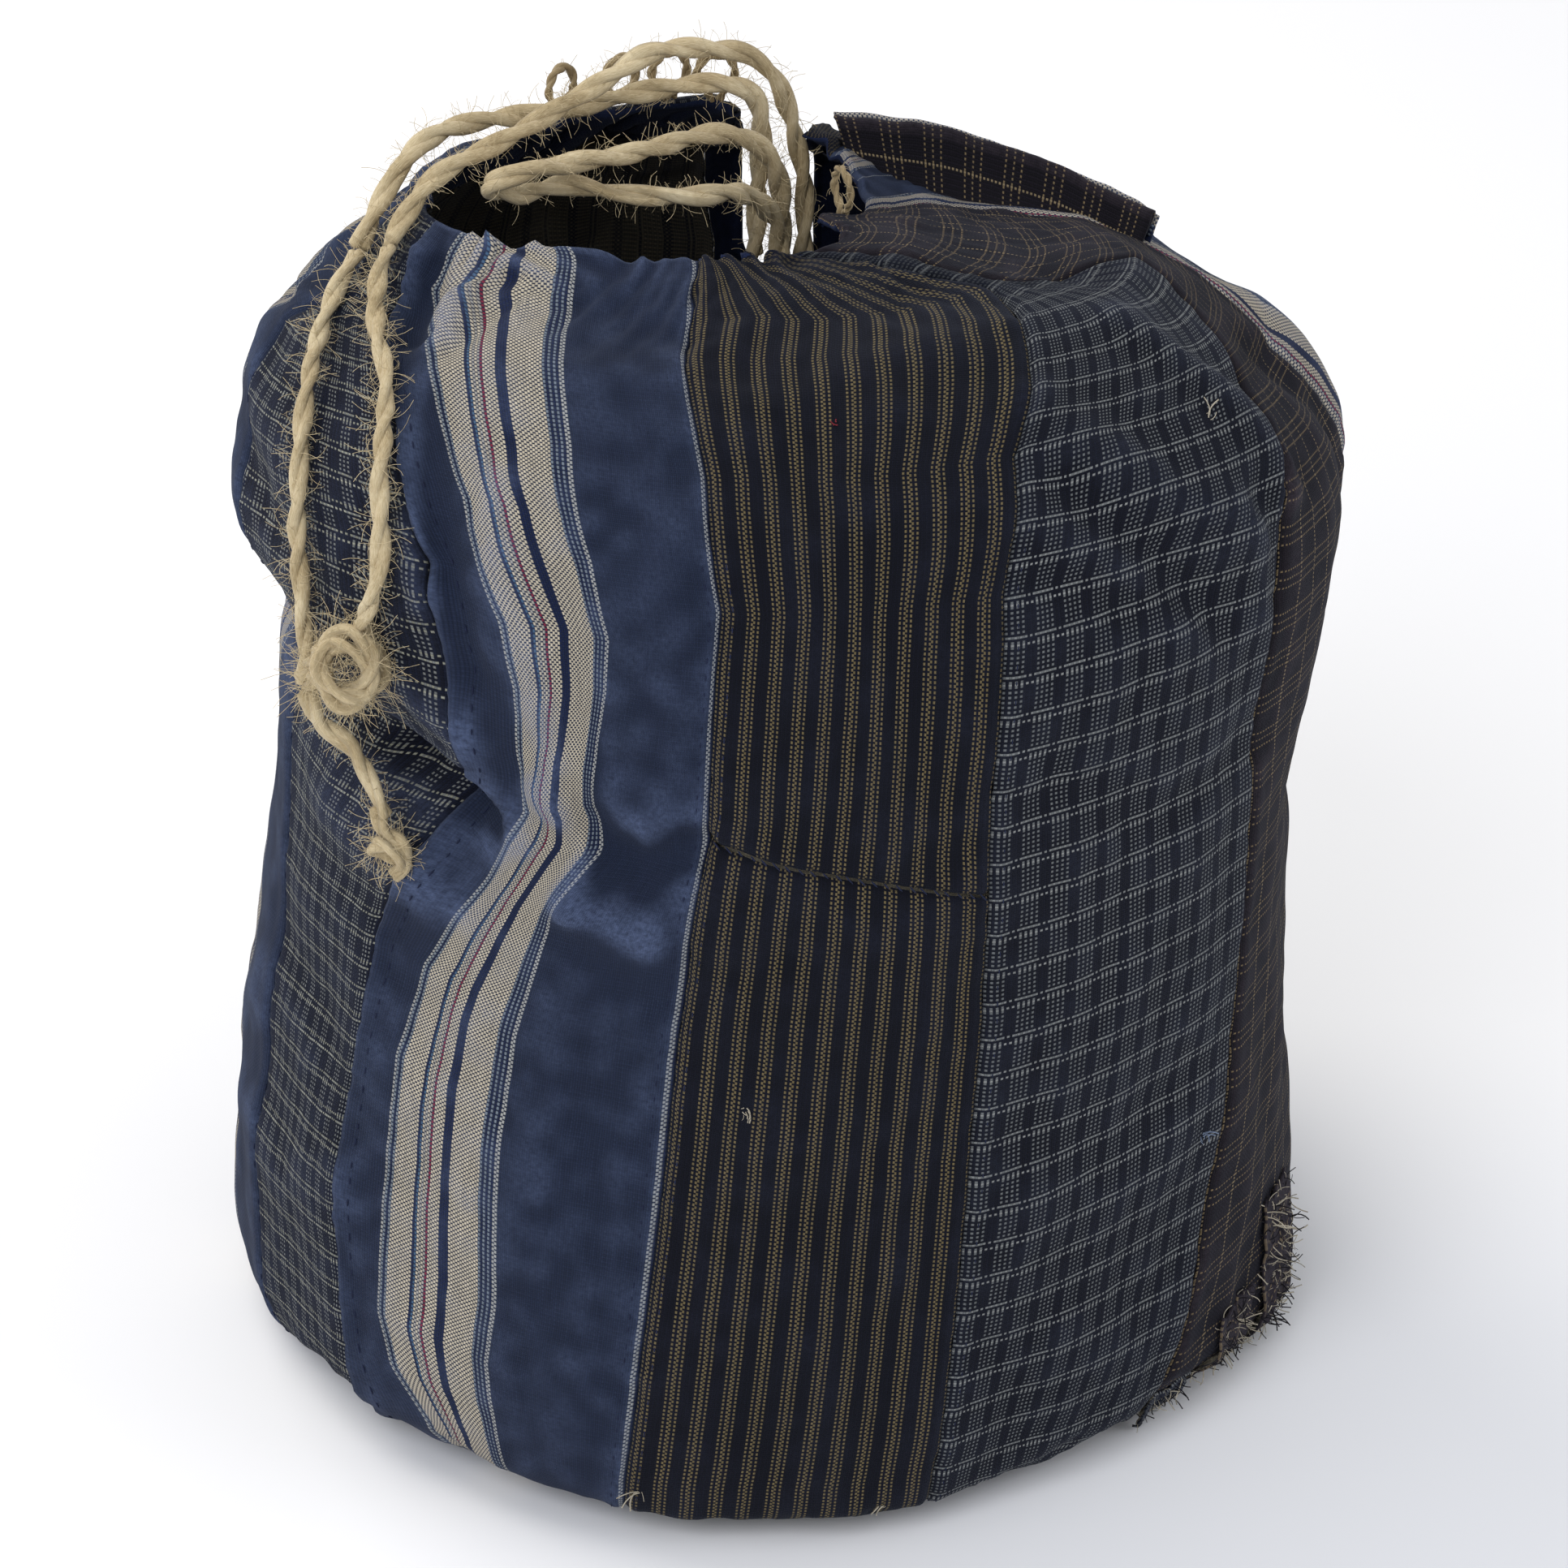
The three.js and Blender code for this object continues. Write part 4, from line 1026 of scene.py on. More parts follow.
def ringSheet(name, lowLevel, highLevel, depth, thickness, material):   # closed round the compass
    angles = np.arange(0, 360, 2.0)
    levels = np.linspace(lowLevel, highLevel, 70)
    grid = wallAt(angles[None, :], levels[:, None], -depth * np.ones((70, len(angles))))
    grid = grid + (crumple(grid, 24, 8.8) * 1.6)[..., None] * sampleMap(mapNormal, angles[None, :],
                                                                        levels[:, None])
    n = wallNormals(grid)
    inner = grid - n * thickness
    loop = np.concatenate([grid, inner[::-1]])
    rows, columns = loop.shape[:2]
    index = np.arange(rows * columns).reshape(rows, columns)
    nextRow, nextColumn = np.roll(index, -1, axis=0), np.roll(index, -1, axis=1)
    faces = np.stack([index, nextColumn, np.roll(nextColumn, -1, axis=0), nextRow], axis=-1).reshape(-1, 4)
    uv = np.stack([np.broadcast_to(angles * 2.7, (rows, columns)),
                   np.broadcast_to(np.concatenate([levels, levels[::-1]])[:, None] * 40,
                                   (rows, columns))], axis=-1)
    return newPiece(name, loop.reshape(-1, 3) * mm, faces, [material], uv.reshape(-1, 2),
                    wear=np.full(rows * columns, 0.2))


wallLining = ringSheet("wallLining", 1.3, 8.0, 5.0, 0.8, clothMaterials["cottonLining"])


# the flap that stands behind the mouth
print("flap")
flap = {
    "foot": [(20, 50, 357), (52, 51, 351), (80, 50, 343), (98, 44, 338), (110, 36, 335)],
    "top": [(18, 50, 364), (52, 54, 359), (80, 54, 349), (99, 47, 343), (112, 38, 339)],
    "below": 13.0,          # how far it runs down behind the mouth, mm
    "cloth": 0.9,
    "hem": 1.5,
    "backing": 2.6,         # how far behind it the striped backing lies
}


def flapSheet(name, back, rise, material, cloth, roll, wave, uStart):
    foot = smoothPath(flap["foot"], 1.6)
    top = smoothPath(flap["top"], 1.6)
    count = len(foot)
    top = np.stack([np.interp(np.linspace(0, 1, count), np.linspace(0, 1, len(top)),
                              top[:, c]) for c in range(3)], 1)
    along = np.gradient(foot, axis=0)
    along /= np.linalg.norm(along, axis=1, keepdims=True)
    up = top - foot
    tall = np.linalg.norm(up, axis=1, keepdims=True)
    up /= tall
    behind = np.cross(up, along)
    behind *= np.sign(behind[:, 1:2])
    gone = np.concatenate([[0], np.cumsum(np.linalg.norm(np.diff(foot, axis=0), axis=1))])
    sway = np.array([noise.noise(Vector((g / 19, wave, 0.3))) * 2.4 + noise.noise(Vector((g / 7, wave,
                                                                                          2))) * 0.8
                     for g in gone])
    lift = np.array([noise.noise(Vector((g / 24, wave, 6))) * 1.6 + noise.noise(Vector((g / 6, wave,
                                                                                        9))) * 0.5
                     for g in gone])
    rows, v = [], []
    for share in np.linspace(0, 1, 16):
        height = -flap["below"] + (tall[:, 0] + flap["below"] + rise + lift * share) * share
        lean = back + sway * share ** 2 + 2.0 * math.sin(share * math.pi) - 0.5
        rows.append(foot + up * height[:, None] + behind * lean[:, None])
        v.append(share * 17)
    end = rows[-1]
    for turn in np.radians([35, 70, 105, 140, 175]):
        rows.append(end + up * roll * math.sin(turn) + behind * roll * (1 - math.cos(turn)))
        v.append(17 + roll * turn)
    for step in (2.0, 4.0, 6.0):
        rows.append(end - up * step + behind * 2 * roll)
        v.append(17 + roll * math.pi + step)
    face = np.stack(rows)
    uv = np.stack([np.repeat(np.array(v)[:, None], count, axis=1) + uStart,
                   np.repeat(gone[None, :], len(rows), axis=0)], axis=-1)
    wear = np.zeros(face.shape[:2])
    wear[14:22] = 0.55
    return shell(name, face, uv, np.zeros(len(rows) - 1, dtype=int), [material], cloth, wear)


flapPlaid = flapSheet("flapPlaid", 0.0, 1.0, clothMaterials["plaid"], flap["cloth"], flap["hem"], 1.3, 3.0)
flapBacking = flapSheet("flapBacking", flap["backing"] + 2 * flap["hem"], 2.2,
                        clothMaterials["indigoStripe"], 0.8, 0.8,
                        4.7, 22.0)


# loops, knots and loose fibre
print("loops, knots and fibre")
beckets = {"angles": [112, 197, 209, 221, 234], "width": 15.0, "cord": 3.0, "ends": (-60, 240),
           "stand": 3.2}


def hemPoint(angle):                # the middle of the rolled hem in the CAD, mm
    edge = plainWall(angle, float(rim))
    inward = edge - plainWall(angle, rim - 0.1)
    inward /= np.linalg.norm(inward)
    n = np.cross(plainWall(angle + 1, float(rim)) - plainWall(angle - 1, float(rim)), inward)
    n /= np.linalg.norm(n)
    return edge - n * 2.4 + inward * 4.2


loopPieces = []
for k, angle in enumerate(beckets["angles"]):
    a = math.radians(angle)
    middle = hemPoint(angle) + np.array([0, 0, beckets["stand"] + beckets["width"] / 2])
    reach = (beckets["width"] - beckets["cord"]) / 2
    points = []
    for turn in np.radians(np.linspace(*beckets["ends"], 15)):
        side = reach * math.cos(turn)
        points.append(middle + np.array([side * math.cos(a), side * math.sin(a), reach * math.sin(turn)]))
    first, last = points[0], points[-1]
    root = middle - np.array([0, 0, reach + beckets["stand"] + 1.0])
    points = [first * 0.35 + root * 0.65] + points + [last * 0.35 + root * 0.65]
    # the loops get the rope material with painted shade
    loopPieces.append(laidRope(f"becketLoop{k + 1}", [smoothPath(points, 0.8)], beckets["cord"], 9.0,
                               shadedHemp, 70 + k,
                               sides=7))

knot = {
    "middle": (-120, -114, 264),
    "cord": 5.6,
    "turns": [  # an overhand knot pulled tight, as offsets from its middle
        [(-15, 22, -16), (-12, 13, -9), (-5, 2, -8), (3, -3, -2), (5, -1, 6), (-1, 3, 11), (-8, 3, 8),
         (-10, -1, 1),
         (-5, -5, -4), (2, -4, -6), (7, 1, -4), (7, 4, 3), (2, 5, 10), (5, 0, 22)],
        [(-17, 24, -14), (-10, 8, 2), (-3, 0, 8), (4, -2, 3), (4, -3, -5), (-3, -4, -9), (-9, 0, -5),
         (-8, 4, 4)],
    ],
    "frays": 3,
}
middle = np.array(knot["middle"])
drawstringKnot = laidRope("drawstringKnot",
                          [smoothPath(np.array(turn) + middle, 1.0) for turn in knot["turns"]],
                          knot["cord"], 26.0, hemp, 81, sides=9)
endKnot = {
    "middle": (-112, -113, 206),
    "cord": 5.2,
    "turns": [[(-3, 2, 12), (-2, 1, 6), (3, -2, 3), (4, 0, -2), (0, 3, -4), (-4, 1, -1), (-3, -3, 3),
               (2, -4, 1),
               (4, -1, -5), (1, 0, -9)]],
}
middle = np.array(endKnot["middle"])
drawstringEndKnot = laidRope("drawstringEndKnot", [smoothPath(np.array(turn) + middle, 0.9)
                             for turn in endKnot["turns"]], endKnot["cord"], 24.0, hemp, 83, sides=9)


def fibreTree():                    # loose hairs scattered over a surface, each one a thin bent thread
    tree = bpy.data.node_groups.new("looseFibres", "GeometryNodeTree")
    sockets = {}
    face = tree.interface
    face.new_socket("Geometry", in_out="INPUT", socket_type="NodeSocketGeometry")
    for label, kind, value in (("Hairs per m2", "NodeSocketFloat", 1e5),
                               ("Length", "NodeSocketFloat", 0.006),
                               ("Thickness", "NodeSocketFloat", 0.0001), ("Lean", "NodeSocketFloat", 1.2),
                               ("Seed", "NodeSocketInt", 1), ("Yarn", "NodeSocketMaterial", None)):
        socket = face.new_socket(label, in_out="INPUT", socket_type=kind)
        if value is not None:
            socket.default_value = value
        sockets[label] = socket.identifier
    face.new_socket("Geometry", in_out="OUTPUT", socket_type="NodeSocketGeometry")
    given = addNode(tree, "NodeGroupInput").outputs
    spread = addNode(tree, "GeometryNodeDistributePointsOnFaces", distribute_method="RANDOM", links={
        "Mesh": given["Geometry"], "Density": given["Hairs per m2"], "Seed": given["Seed"]})
    bend = addNode(tree, "GeometryNodeCurveQuadraticBezier", inputs={
        "Resolution": 4, "Start": (0, 0, 0), "Middle": (0.1, 0.05, 0.55), "End": (0.75, 0.3, 0.8)})
    thin = addNode(tree, "ShaderNodeMath", operation="DIVIDE",
                   links={0: given["Thickness"], 1: given["Length"]})
    ring = addNode(tree, "GeometryNodeCurvePrimitiveCircle", inputs={"Resolution": 3},
                   links={"Radius": thin.outputs[0]})
    hair = addNode(tree, "GeometryNodeCurveToMesh", inputs={"Fill Caps": True},
                   links={"Curve": bend.outputs["Curve"], "Profile Curve": ring.outputs["Curve"]})
    spinZ = addNode(tree, "FunctionNodeRandomValue", data_type="FLOAT_VECTOR",
                    links={"Seed": given["Seed"]})
    low = addNode(tree, "ShaderNodeCombineXYZ", inputs={"Z": 0.0}, links={
        "X": addNode(tree, "ShaderNodeMath", operation="MULTIPLY", inputs={1: -1.0},
                     links={0: given["Lean"]}).outputs[0],
        "Y": addNode(tree, "ShaderNodeMath", operation="MULTIPLY", inputs={1: -1.0},
                     links={0: given["Lean"]}).outputs[0]})
    high = addNode(tree, "ShaderNodeCombineXYZ", inputs={"Z": 6.283},
                   links={"X": given["Lean"], "Y": given["Lean"]})
    tree.links.new(low.outputs[0], spinZ.inputs[0])
    tree.links.new(high.outputs[0], spinZ.inputs[1])
    turned = addNode(tree, "FunctionNodeRotateRotation", rotation_space="LOCAL",
                     links={0: spread.outputs["Rotation"], 1: spinZ.outputs[0]})
    sizes = addNode(tree, "FunctionNodeRandomValue", data_type="FLOAT", inputs={2: 0.25, 3: 1.0},
                    links={"Seed": given["Seed"]})
    scaled = addNode(tree, "ShaderNodeMath", operation="MULTIPLY",
                     links={0: sizes.outputs[1], 1: given["Length"]})
    placed = addNode(tree, "GeometryNodeInstanceOnPoints", links={
        "Points": spread.outputs["Points"], "Instance": hair.outputs["Mesh"], "Rotation": turned.outputs[0],
        "Scale": scaled.outputs[0]})
    real = addNode(tree, "GeometryNodeRealizeInstances", links={0: placed.outputs["Instances"]})
    painted = addNode(tree, "GeometryNodeSetMaterial",
                      links={0: real.outputs[0], "Material": given["Yarn"]})
    addNode(tree, "NodeGroupOutput", links={0: painted.outputs[0]})
    return tree, sockets


fibres, fibreSockets = fibreTree()


def throughNodes(name, source, tree, sockets, values, material):    # the tree's result as a plain mesh
    carrier = source.copy()
    carrier.data = source.data.copy()
    scene.collection.objects.link(carrier)
    modifier = carrier.modifiers.new("nodes", "NODES")
    modifier.node_group = tree
    for label, value in values.items():
        modifier[sockets[label]] = value
    bpy.context.view_layer.update()
    mesh = bpy.data.meshes.new_from_object(carrier.evaluated_get(bpy.context.evaluated_depsgraph_get()))
    mesh.name = name
    bpy.data.objects.remove(carrier)
    mesh.materials.clear()
    mesh.materials.append(material)
    piece = bpy.data.objects.new(name, mesh)
    scene.collection.objects.link(piece)
    return piece


def hairs(name, source, values, material):
    return throughNodes(name, source, fibres, fibreSockets, {**values, "Yarn": material}, material)


fuzz = {"Hairs per m2": 120000.0, "Length": 0.0065, "Thickness": 0.00009, "Lean": 1.0, "Seed": 3}
fuzzPieces = {}
for k, name in enumerate(routes):
    own = {**fuzz, "Seed": 3 + k}
    if name.startswith("hanging"):
        own["Length"], own["Hairs per m2"] = 0.008, 190000.0
    fuzzPieces[name] = hairs(name + "Hairs", ropePieces[name], own, hempHair)
knotHairs = hairs("knotHairs", drawstringKnot,
                  {**fuzz, "Length": 0.013, "Hairs per m2": 160000.0, "Lean": 1.5}, hempHair)
endKnotHairs = hairs("endKnotHairs", drawstringEndKnot,
                     {**fuzz, "Length": 0.009, "Hairs per m2": 260000.0}, hempHair)
loopHairs = [hairs(f"becketLoop{k + 1}Hairs", piece, {**fuzz, "Length": 0.004, "Seed": 20 + k}, hempHair)
             for k, piece in enumerate(loopPieces)]


# torn bottom seam
print("frayed seam")
frays = {
    "frayedPatchFront": {"angles": (45.0, 53.5), "levels": (0.7, 1.7), "cloth": "windowpane", "seed": 5},
    "frayedPatchMiddle": {"angles": (55.0, 64.5), "levels": (0.7, 2.3), "cloth": "plaid", "seed": 6},
    "frayedPatchSide": {"angles": (66.0, 75.5), "levels": (0.7, 2.9), "cloth": "plaid", "seed": 7},
}


def tornPatch(name, spec):          # a rag whose lower edge and sides are eaten away
    columns, rows = 34, 40
    u = np.linspace(0, 1, columns + 1)
    t = np.linspace(0, 1, rows + 1)
    seed = spec["seed"] * 3.7
    ragged = np.array([noise.noise(Vector((x * 5, seed, 1))) * 0.2 + noise.noise(Vector((x * 17, seed,
                                                                                         2))) * 0.1
                       for x in u])
    side = np.array([noise.noise(Vector((y * 6, seed, 4))) * 0.12 + noise.noise(Vector((y * 15, seed,
                                                                                        5))) * 0.06
                     for y in t])
    low = spec["levels"][0] + (spec["levels"][1] - spec["levels"][0]) * (0.12 + ragged)
    top = spec["levels"][1] - 0.12 * np.abs(ragged) * 4
    level = low[None, :] + (top - low)[None, :] * t[:, None]
    a, b = spec["angles"]
    angle = a + (b - a) * (u[None, :] * (1 - 0.15 + side[:, None]) + 0.06 - side[:, None] * 0.5)
    curl = 1.2 + 4.2 * (1 - t[:, None]) ** 2 * (0.4 + 0.9 * np.abs(ragged[None, :]) * 4) + \
        1.0 * np.abs(2 * u[None, :] - 1) ** 3
    flat = wallAt(angle, level, curl)
    flat = flat + (crumple(flat, 9, seed) * 1.6)[..., None] * sampleMap(mapNormal, angle, level)
    uv = np.stack([np.broadcast_to(u * 22, flat.shape[:2]),
                   np.broadcast_to(t[:, None] * 34, flat.shape[:2])], axis=-1)
    return shell(name, flat, uv, np.zeros(rows, dtype=int),
                 [clothMaterials[spec["cloth"]], clothMaterials["cottonLining"]],
                 0.8, np.full(flat.shape[:2], 0.9), 1)


frayPieces = {name: tornPatch(name, spec) for name, spec in frays.items()}
fringe = {"Hairs per m2": 80000.0, "Length": 0.0065, "Thickness": 0.00024, "Lean": 1.5, "Seed": 31}
fringePieces = []
for k, (name, piece) in enumerate(frayPieces.items()):
    fringePieces.append(hairs(name + "Dark", piece, {**fringe, "Seed": 31 + k}, blackYarn))
    fringePieces.append(hairs(name + "Pale", piece, {**fringe, "Hairs per m2": 70000.0, "Seed": 41 + k},
                              creamYarn))
for piece in fringePieces:          # nothing hangs through the floor
    for vertex in piece.data.vertices:
        vertex.co.z = max(vertex.co.z, 0.0004)


# hand stitches
print("stitches")


def stitchTree():                   # a short length of thread at each point, laid along its own direction
    tree = bpy.data.node_groups.new("handStitches", "GeometryNodeTree")
    sockets = {}
    face = tree.interface
    face.new_socket("Geometry", in_out="INPUT", socket_type="NodeSocketGeometry")
    for label, kind, value in (("Stitch length", "NodeSocketFloat", 0.003),
                               ("Thread thickness", "NodeSocketFloat", 0.0005),
                               ("Unevenness", "NodeSocketFloat", 0.3), ("Seed", "NodeSocketInt", 1),
                               ("Yarn", "NodeSocketMaterial", None)):
        socket = face.new_socket(label, in_out="INPUT", socket_type=kind)
        if value is not None:
            socket.default_value = value
        sockets[label] = socket.identifier
    face.new_socket("Geometry", in_out="OUTPUT", socket_type="NodeSocketGeometry")
    given = addNode(tree, "NodeGroupInput").outputs
    points = addNode(tree, "GeometryNodeMeshToPoints", links={"Mesh": given["Geometry"]})
    bead = addNode(tree, "GeometryNodeMeshUVSphere", inputs={"Segments": 6, "Rings": 5, "Radius": 0.5})
    way = addNode(tree, "GeometryNodeInputNamedAttribute", data_type="FLOAT_VECTOR",
                  inputs={"Name": "along"})
    turned = addNode(tree, "FunctionNodeAlignRotationToVector", axis="X", links={"Vector": way.outputs[0]})
    least = addNode(tree, "ShaderNodeMath", operation="SUBTRACT", inputs={0: 1.0},
                    links={1: given["Unevenness"]})
    most = addNode(tree, "ShaderNodeMath", operation="ADD", inputs={0: 1.0}, links={1: given["Unevenness"]})
    vary = addNode(tree, "FunctionNodeRandomValue", data_type="FLOAT",
                   links={2: least.outputs[0], 3: most.outputs[0], "Seed": given["Seed"]})
    long = addNode(tree, "ShaderNodeMath", operation="MULTIPLY",
                   links={0: given["Stitch length"], 1: vary.outputs[1]})
    size = addNode(tree, "ShaderNodeCombineXYZ", links={
        "X": long.outputs[0], "Y": given["Thread thickness"], "Z": given["Thread thickness"]})
    placed = addNode(tree, "GeometryNodeInstanceOnPoints", links={
        "Points": points.outputs[0], "Instance": bead.outputs["Mesh"], "Rotation": turned.outputs[0],
        "Scale": size.outputs[0]})
    real = addNode(tree, "GeometryNodeRealizeInstances", links={0: placed.outputs["Instances"]})
    painted = addNode(tree, "GeometryNodeSetMaterial",
                      links={0: real.outputs[0], "Material": given["Yarn"]})
    addNode(tree, "NodeGroupOutput", links={0: painted.outputs[0]})
    return tree, sockets


stitches, stitchSockets = stitchTree()
stitchRuns = {
    # piece: panel edge it follows, mm in from it, levels, spacing mm, length mm, thickness mm, yarn
    "stripeRunningStitches": ("indigoStripePanel", 5.2, (0.4, 10.4), 6.2, 2.6, 0.55, navyYarn),
    "stripeHemStitches": ("indigoStripePanel", 91.5, (0.6, 9.0), 5.0, 1.6, 0.4, navyYarn),
    "pinstripeLowerStitches": ("pinstripeLowerPanel", 3.8, (0.4, 6.4), 6.0, 2.0, 0.5, navyYarn),
    "pinstripeUpperStitches": ("pinstripeUpperPanel", 3.8, (6.8, 9.0), 6.0, 2.0, 0.5, navyYarn),
    "windowpaneStitches": ("windowpanePanel", 3.2, (0.5, 9.0), 5.5, 1.5, 0.4, navyYarn),
    "slubStitches": ("slubCheckPanel", 3.0, (0.5, 9.5), 6.5, 2.2, 0.5, navyYarn),
}


def stitchLine(name, points, ways, spacing, length, thickness, yarnMaterial, seed):
    gone = np.concatenate([[0], np.cumsum(np.linalg.norm(np.diff(points, axis=0), axis=1))])
    spots = np.arange(spacing / 2, gone[-1], spacing)
    rng = np.random.default_rng(seed)
    spots = spots + rng.uniform(-0.12, 0.12, len(spots)) * spacing
    at = np.stack([np.interp(spots, gone, points[:, c]) for c in range(3)], axis=1)
    along = np.stack([np.interp(spots, gone, ways[:, c]) for c in range(3)], axis=1)
    source = newPiece(name + "Points", at * mm, [], [])
    source.data.attributes.new("along", "FLOAT_VECTOR", "POINT").data.foreach_set(
        "vector", np.asarray(along, dtype=np.float32).ravel())
    piece = throughNodes(name, source, stitches, stitchSockets, {
        "Stitch length": length * mm, "Thread thickness": thickness * mm, "Unevenness": 0.25, "Seed": seed,
        "Yarn": yarnMaterial}, yarnMaterial)
    bpy.data.objects.remove(source)
    return piece


stitchPieces = {}
for k, (name, (panel, inset, (low, high), spacing, length, thickness,
               yarnMaterial)) in enumerate(stitchRuns.items()):
    levels = np.linspace(low, high, 400)
    start = panels[panel].get("start", 0.0)
    line = wallAt(panels[panel]["angles"](levels, np.full(400, start + inset)), levels, 0.35)
    stitchPieces[name] = stitchLine(name, line, np.gradient(line, axis=0), spacing, length, thickness,
                                    yarnMaterial, 90 + k)

u = np.linspace(2, 90, 120)         # the cross seam of the pinstripe, whipped over by hand
crossLevel = 6.59 - 0.44 * (u / 92.0 - 0.5)
line = wallAt(panels["pinstripeLowerPanel"]["angles"](crossLevel, u), crossLevel, 0.2)
crossStitches = stitchLine("crossSeamStitches", line,
                           np.gradient(line, axis=0) * 0.4 + np.array([0.2, 0, -0.5]),
                           3.6, 3.0, 0.5, navyYarn, 99)

# small marks of use: tufts of loose thread, at a compass angle and a level
tufts = {
    "tuftCream": ((-3.0, 5.0), 9, 0.004, creamYarn),
    "tuftBlue": ((52.0, 3.9), 9, 0.005, paleYarn),
    "tuftWhite": ((10.5, 1.6), 5, 0.005, creamYarn),
    "tuftRed": ((8.5, 9.9), 4, 0.0025, redYarn),
    "tuftShoulder": ((60.0, 9.4), 4, 0.006, creamYarn),
    "tuftSeam": ((-13.5, 1.9), 5, 0.009, creamYarn),
}
tuftPieces = []
for k, (name, ((angle, level), count, length, yarnMaterial)) in enumerate(tufts.items()):
    spot = wallAt(np.array([angle - 0.4, angle + 0.4, angle + 0.4, angle - 0.4]),
                  np.array([level - 0.03, level - 0.03, level + 0.03, level + 0.03]), 0.1)
    source = newPiece(name + "Spot", spot * mm, [(0, 1, 2, 3)], [])
    area = sum(p.area for p in source.data.polygons)
    tuftPieces.append(hairs(name, source,
                            {"Hairs per m2": count / area, "Length": length, "Thickness": 0.0003,
                                           "Lean": 1.5, "Seed": 60 + k}, yarnMaterial))
    bpy.data.objects.remove(source)


def joined(first, second):
    with bpy.context.temp_override(active_object=first, object=first, selected_objects=[first, second],
                                   selected_editable_objects=[first, second]):
        bpy.ops.object.join()
    return first


panelPieces["backPinstripeRight"] = joined(panelPieces["backPinstripeRight"],
                                           panelPieces.pop("backPinstripeLeft"))
panelPieces["backPinstripeRight"].name = "backPinstripePanel"

# where each cloth of the lip starts to follow it and where it follows it wholly, worked out
# from the seams: neighbours agree along the seam between them, and the wall below stays still
lip = {
    "hinge": (-105.0, 345.0),       # y and z of the fold line, mm
    "opens": 25.0,                  # degrees at its limit
    "still": 9.0,                   # the wall below this level stays where it is
    "pull": 12.0,                   # how strongly the front of the rim follows
    "steepest": 0.05,               # share per mm
    "from": (0.9, 0.5, 0.4, 0.1),   # where across each cloth the search starts, towards the lip
    "rounds": 40,
    "trials": 40,
    "spread": 0.4,
}
lipCloths = ["indigoStripePanel", "pinstripeUpperPanel", "windowpanePanel", "plaidPanel"]
lipSeams = ["left", "frontLeft", "frontRight", "right", "farRight"]


def lipTravel(points):              # how far each point would move with the lip wide open, mm
    reach = np.hypot(points[:, 1] - lip["hinge"][0], points[:, 2] - lip["hinge"][1])
    return reach * 2 * math.sin(math.radians(lip["opens"]) / 2)


def lipShare(plane, middle, points):
    t = np.clip((points - middle) @ plane[:3] / 20 + plane[3], 0, 1)
    return 3 * t * t - 2 * t ** 3


def lipPlanes():                    # a plane for each cloth, so that neighbours agree along their seam
    still, top = lip["still"], float(rim)
    levels = np.concatenate([np.linspace(0, still, 10), np.linspace(still, top, 30)])
    lines = [plainWall(seamAt(name, levels), levels) for name in lipSeams]
    pairs = list(zip(lipSeams, lipSeams[1:]))
    low, across = np.linspace(3, still, 13)[:, None], np.linspace(0, 1, 5)[None]
    walls, middles, planes = [], [], []
    for a, b, share in [(*pair, share) for pair, share in zip(pairs, lip["from"])]:
        angles = seamAt(a, low) + (seamAt(b, low) - seamAt(a, low)) * across
        walls.append(plainWall(angles, low + 0 * across).reshape(-1, 3))
        ends = [plainWall(seamAt(a, z) * (1 - share) + seamAt(b, z) * share, z).reshape(3)
                for z in (np.array([still]), np.array([top]))]
        rise = ends[1] - ends[0]
        middles.append(ends[0])
        planes.append(np.append(rise / (rise @ rise) * 20, 0.0))
    front = plainWall(np.linspace(-20, 8, 6), np.full(6, top))

    def misfit(values):
        own = values.reshape(4, 4)
        parts = []
        for k, line in enumerate(lines):
            near = [lipShare(own[c], middles[c], line) for c in (k - 1, k) if 0 <= c < 4]
            parts.append((near[0] - (near[1] if len(near) == 2 else 0)) * lipTravel(line) / math.sqrt(len(line)))
        for c, wall in enumerate(walls):
            parts.append(lipShare(own[c], middles[c], wall) * lipTravel(wall) / math.sqrt(len(wall)))
        parts.append((1 - lipShare(own[1], middles[1], front)) * lip["pull"])
        slopes = np.linalg.norm(own[:, :3], axis=1) / 20
        parts.append(np.maximum(0, slopes - lip["steepest"]) * 200)
        return np.concatenate(parts)

    rng, best, least = np.random.default_rng(5), None, math.inf
    for trial in range(lip["trials"]):      # several starts, because a search can stop in a poor place
        values, damping = np.concatenate(planes) + rng.normal(size=16) * lip["spread"] * (trial > 0), 1.0
        now = misfit(values)
        for _ in range(lip["rounds"]):
            slope = np.stack([(misfit(values + step) - now) / 1e-4 for step in np.eye(16) * 1e-4], axis=1)
            move = np.linalg.solve(slope.T @ slope + damping * np.eye(16), -slope.T @ now)
            after = misfit(values + move)
            if after @ after < now @ now:
                values, now, damping = values + move, after, damping * 0.5
            else:
                damping = min(damping * 3, 1e6)
        if now @ now < least:
            best, least = values, now @ now
    values = best
    shares = {}
    for name, plane, middle in zip(lipCloths, values.reshape(4, 4), middles):
        slope = plane[:3] / 20
        start = middle - slope * plane[3] / (slope @ slope)
        shares[name] = (start, start + slope / (slope @ slope))
    return shares


lipShares = lipPlanes()
onPanels = {
    "stripeRunningStitches": "indigoStripePanel", "stripeHemStitches": "indigoStripePanel",
    "pinstripeUpperStitches": "pinstripeUpperPanel", "windowpaneStitches": "windowpanePanel",
    "tuftRed": "pinstripeUpperPanel", "tuftShoulder": "windowpanePanel",
}


def followLip(piece):
    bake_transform(piece)


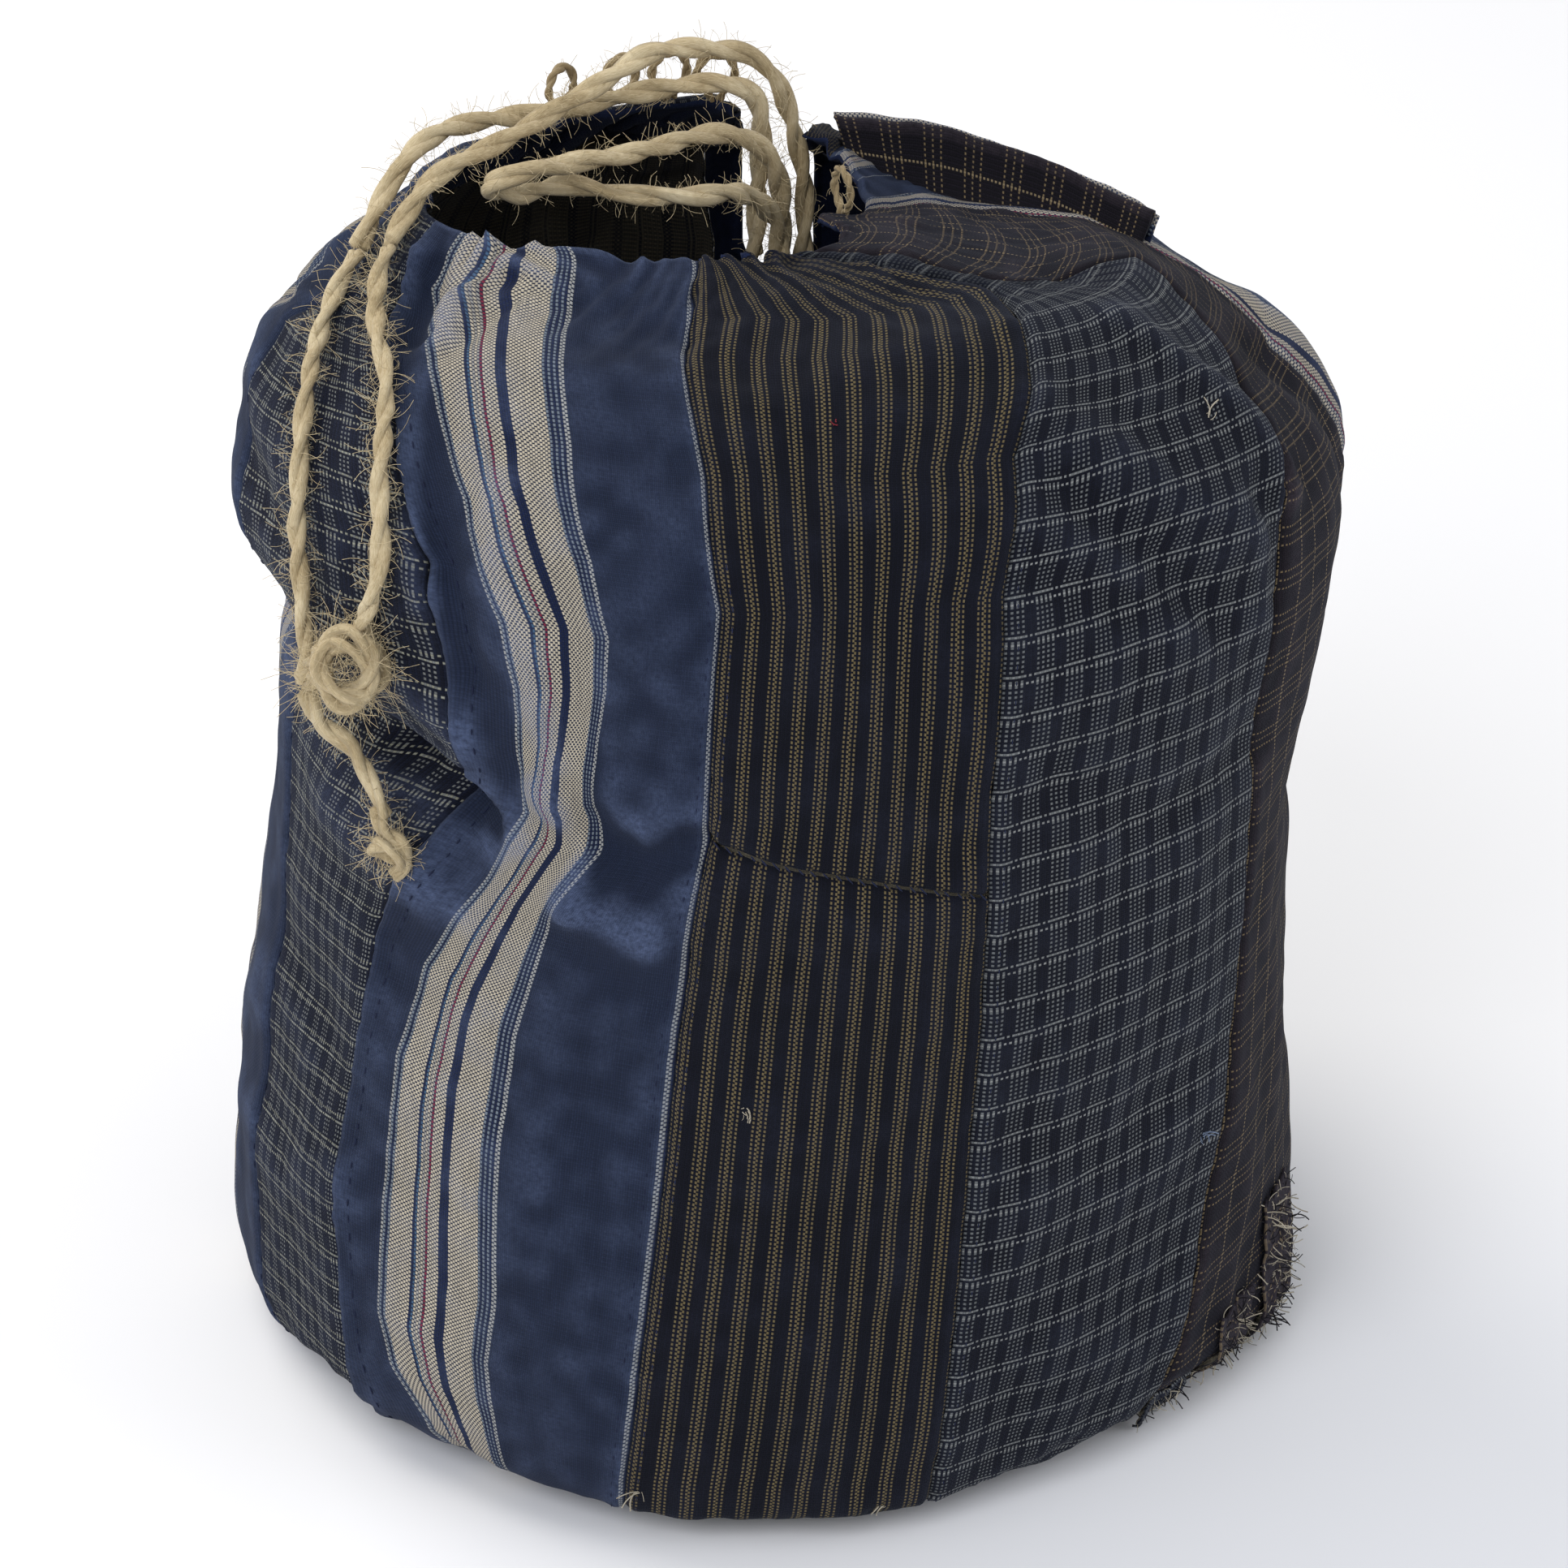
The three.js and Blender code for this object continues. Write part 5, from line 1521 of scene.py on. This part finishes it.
stands = {
    "slubCheckPanel": (["panel_slub_check"], "slub_check"),
    "indigoStripePanel": (["panel_indigo_stripe", "lip_indigo_stripe"], "indigo_stripe"),
    "pinstripeLowerPanel": (["panel_pinstripe_lower"], "pinstripe"),
    "pinstripeUpperPanel": (["panel_pinstripe_upper", "lip_pinstripe", "lip_facing", "lip_hem"],
                            "pinstripe"),
    "windowpanePanel": (["panel_windowpane", "lip_windowpane"], "windowpane"),
    "plaidPanel": (["panel_plaid", "lip_plaid"], "plaid"),
    "sideStripePanel": (["panel_side_stripe"], "indigo_stripe"),
    "backPinstripeRight": (["panel_back_pinstripe", "mouth_facing_right", "mouth_hem_right"], "pinstripe"),
    "backWindowpanePanel": (["panel_back_windowpane"], "windowpane"),
    "leftStripePanel": (["panel_left_stripe", "mouth_facing_left", "mouth_hem_left"], "indigo_stripe"),
}
for name, (nodes, slot) in stands.items():
    piece = panelPieces[name]
    if name in lipShares:
        followLip(piece)
    else:
        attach(piece, "sack")
    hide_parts(*nodes)

for piece, node, slot in ((baseCloth, "base_cloth", "navy_cloth"),
                          (baseLining, "base_lining", "cotton_lining"),
                          (wallLining, "wall_lining", "cotton_lining")):
    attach(piece, "sack")
    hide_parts(node)

for name, piece in {**stitchPieces, "crossSeamStitches": crossStitches,
                    **dict(zip(tufts, tuftPieces))}.items():
    if name in onPanels:
        followLip(piece)
    else:
        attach(piece, "sack")

flapHinge = {"axis": (0.961, -0.15, -0.235), "stillBelow": 8.0, "wholeAbove": 1.0}     # mm from the foot
hingeAxis = np.array(flapHinge["axis"])
flapRise = np.array([0, 0, 1.0]) - hingeAxis * hingeAxis[2]
flapRise /= np.linalg.norm(flapRise)
for piece, nodes, slot in ((flapPlaid, ["flap_plaid", "flap_edge"], "plaid"),
                           (flapBacking, ["flap_backing"], "indigo_stripe")):
    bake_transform(piece)
    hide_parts(*nodes)

for k, piece in enumerate(loopPieces):
    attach(piece, "sack")
    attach(loopHairs[k], "sack")
    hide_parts(f"becket_loop_{k + 1}")

hangs = {"hangingStrandFront": ((-112.5, -27, 357), (-113, -112, 292)),
         "hangingStrandBack": ((-122.5, -16, 351), (-136, -90, 255))}
for name, piece in ropePieces.items():
    for each in (piece, fuzzPieces[name]):
        if name in hangs:
            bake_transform(each)
        else:
            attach(each, "cord_end" if name == "drawstringTail" else "sack")
    node = "".join("_" + c.lower() if c.isupper() else c for c in name)
    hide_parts(node)
for piece, hair, node in ((drawstringKnot, knotHairs, "drawstring_knot"),
                          (drawstringEndKnot, endKnotHairs, "drawstring_end_knot")):
    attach(piece, "cord_end")
    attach(hair, "cord_end")
    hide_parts(node)

for (name, piece), node in zip(frayPieces.items(),
                               ("frayed_patch_front", "frayed_patch_middle", "frayed_patch_side")):
    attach(piece, "sack")
    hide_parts(node)
for piece in fringePieces:
    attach(piece, "sack")

for name, path in routePaths.items():
    length = float(np.linalg.norm(np.diff(path, axis=0), axis=1).sum()) * mm
    print(f"  {name}: {length * 1000:.0f} mm")
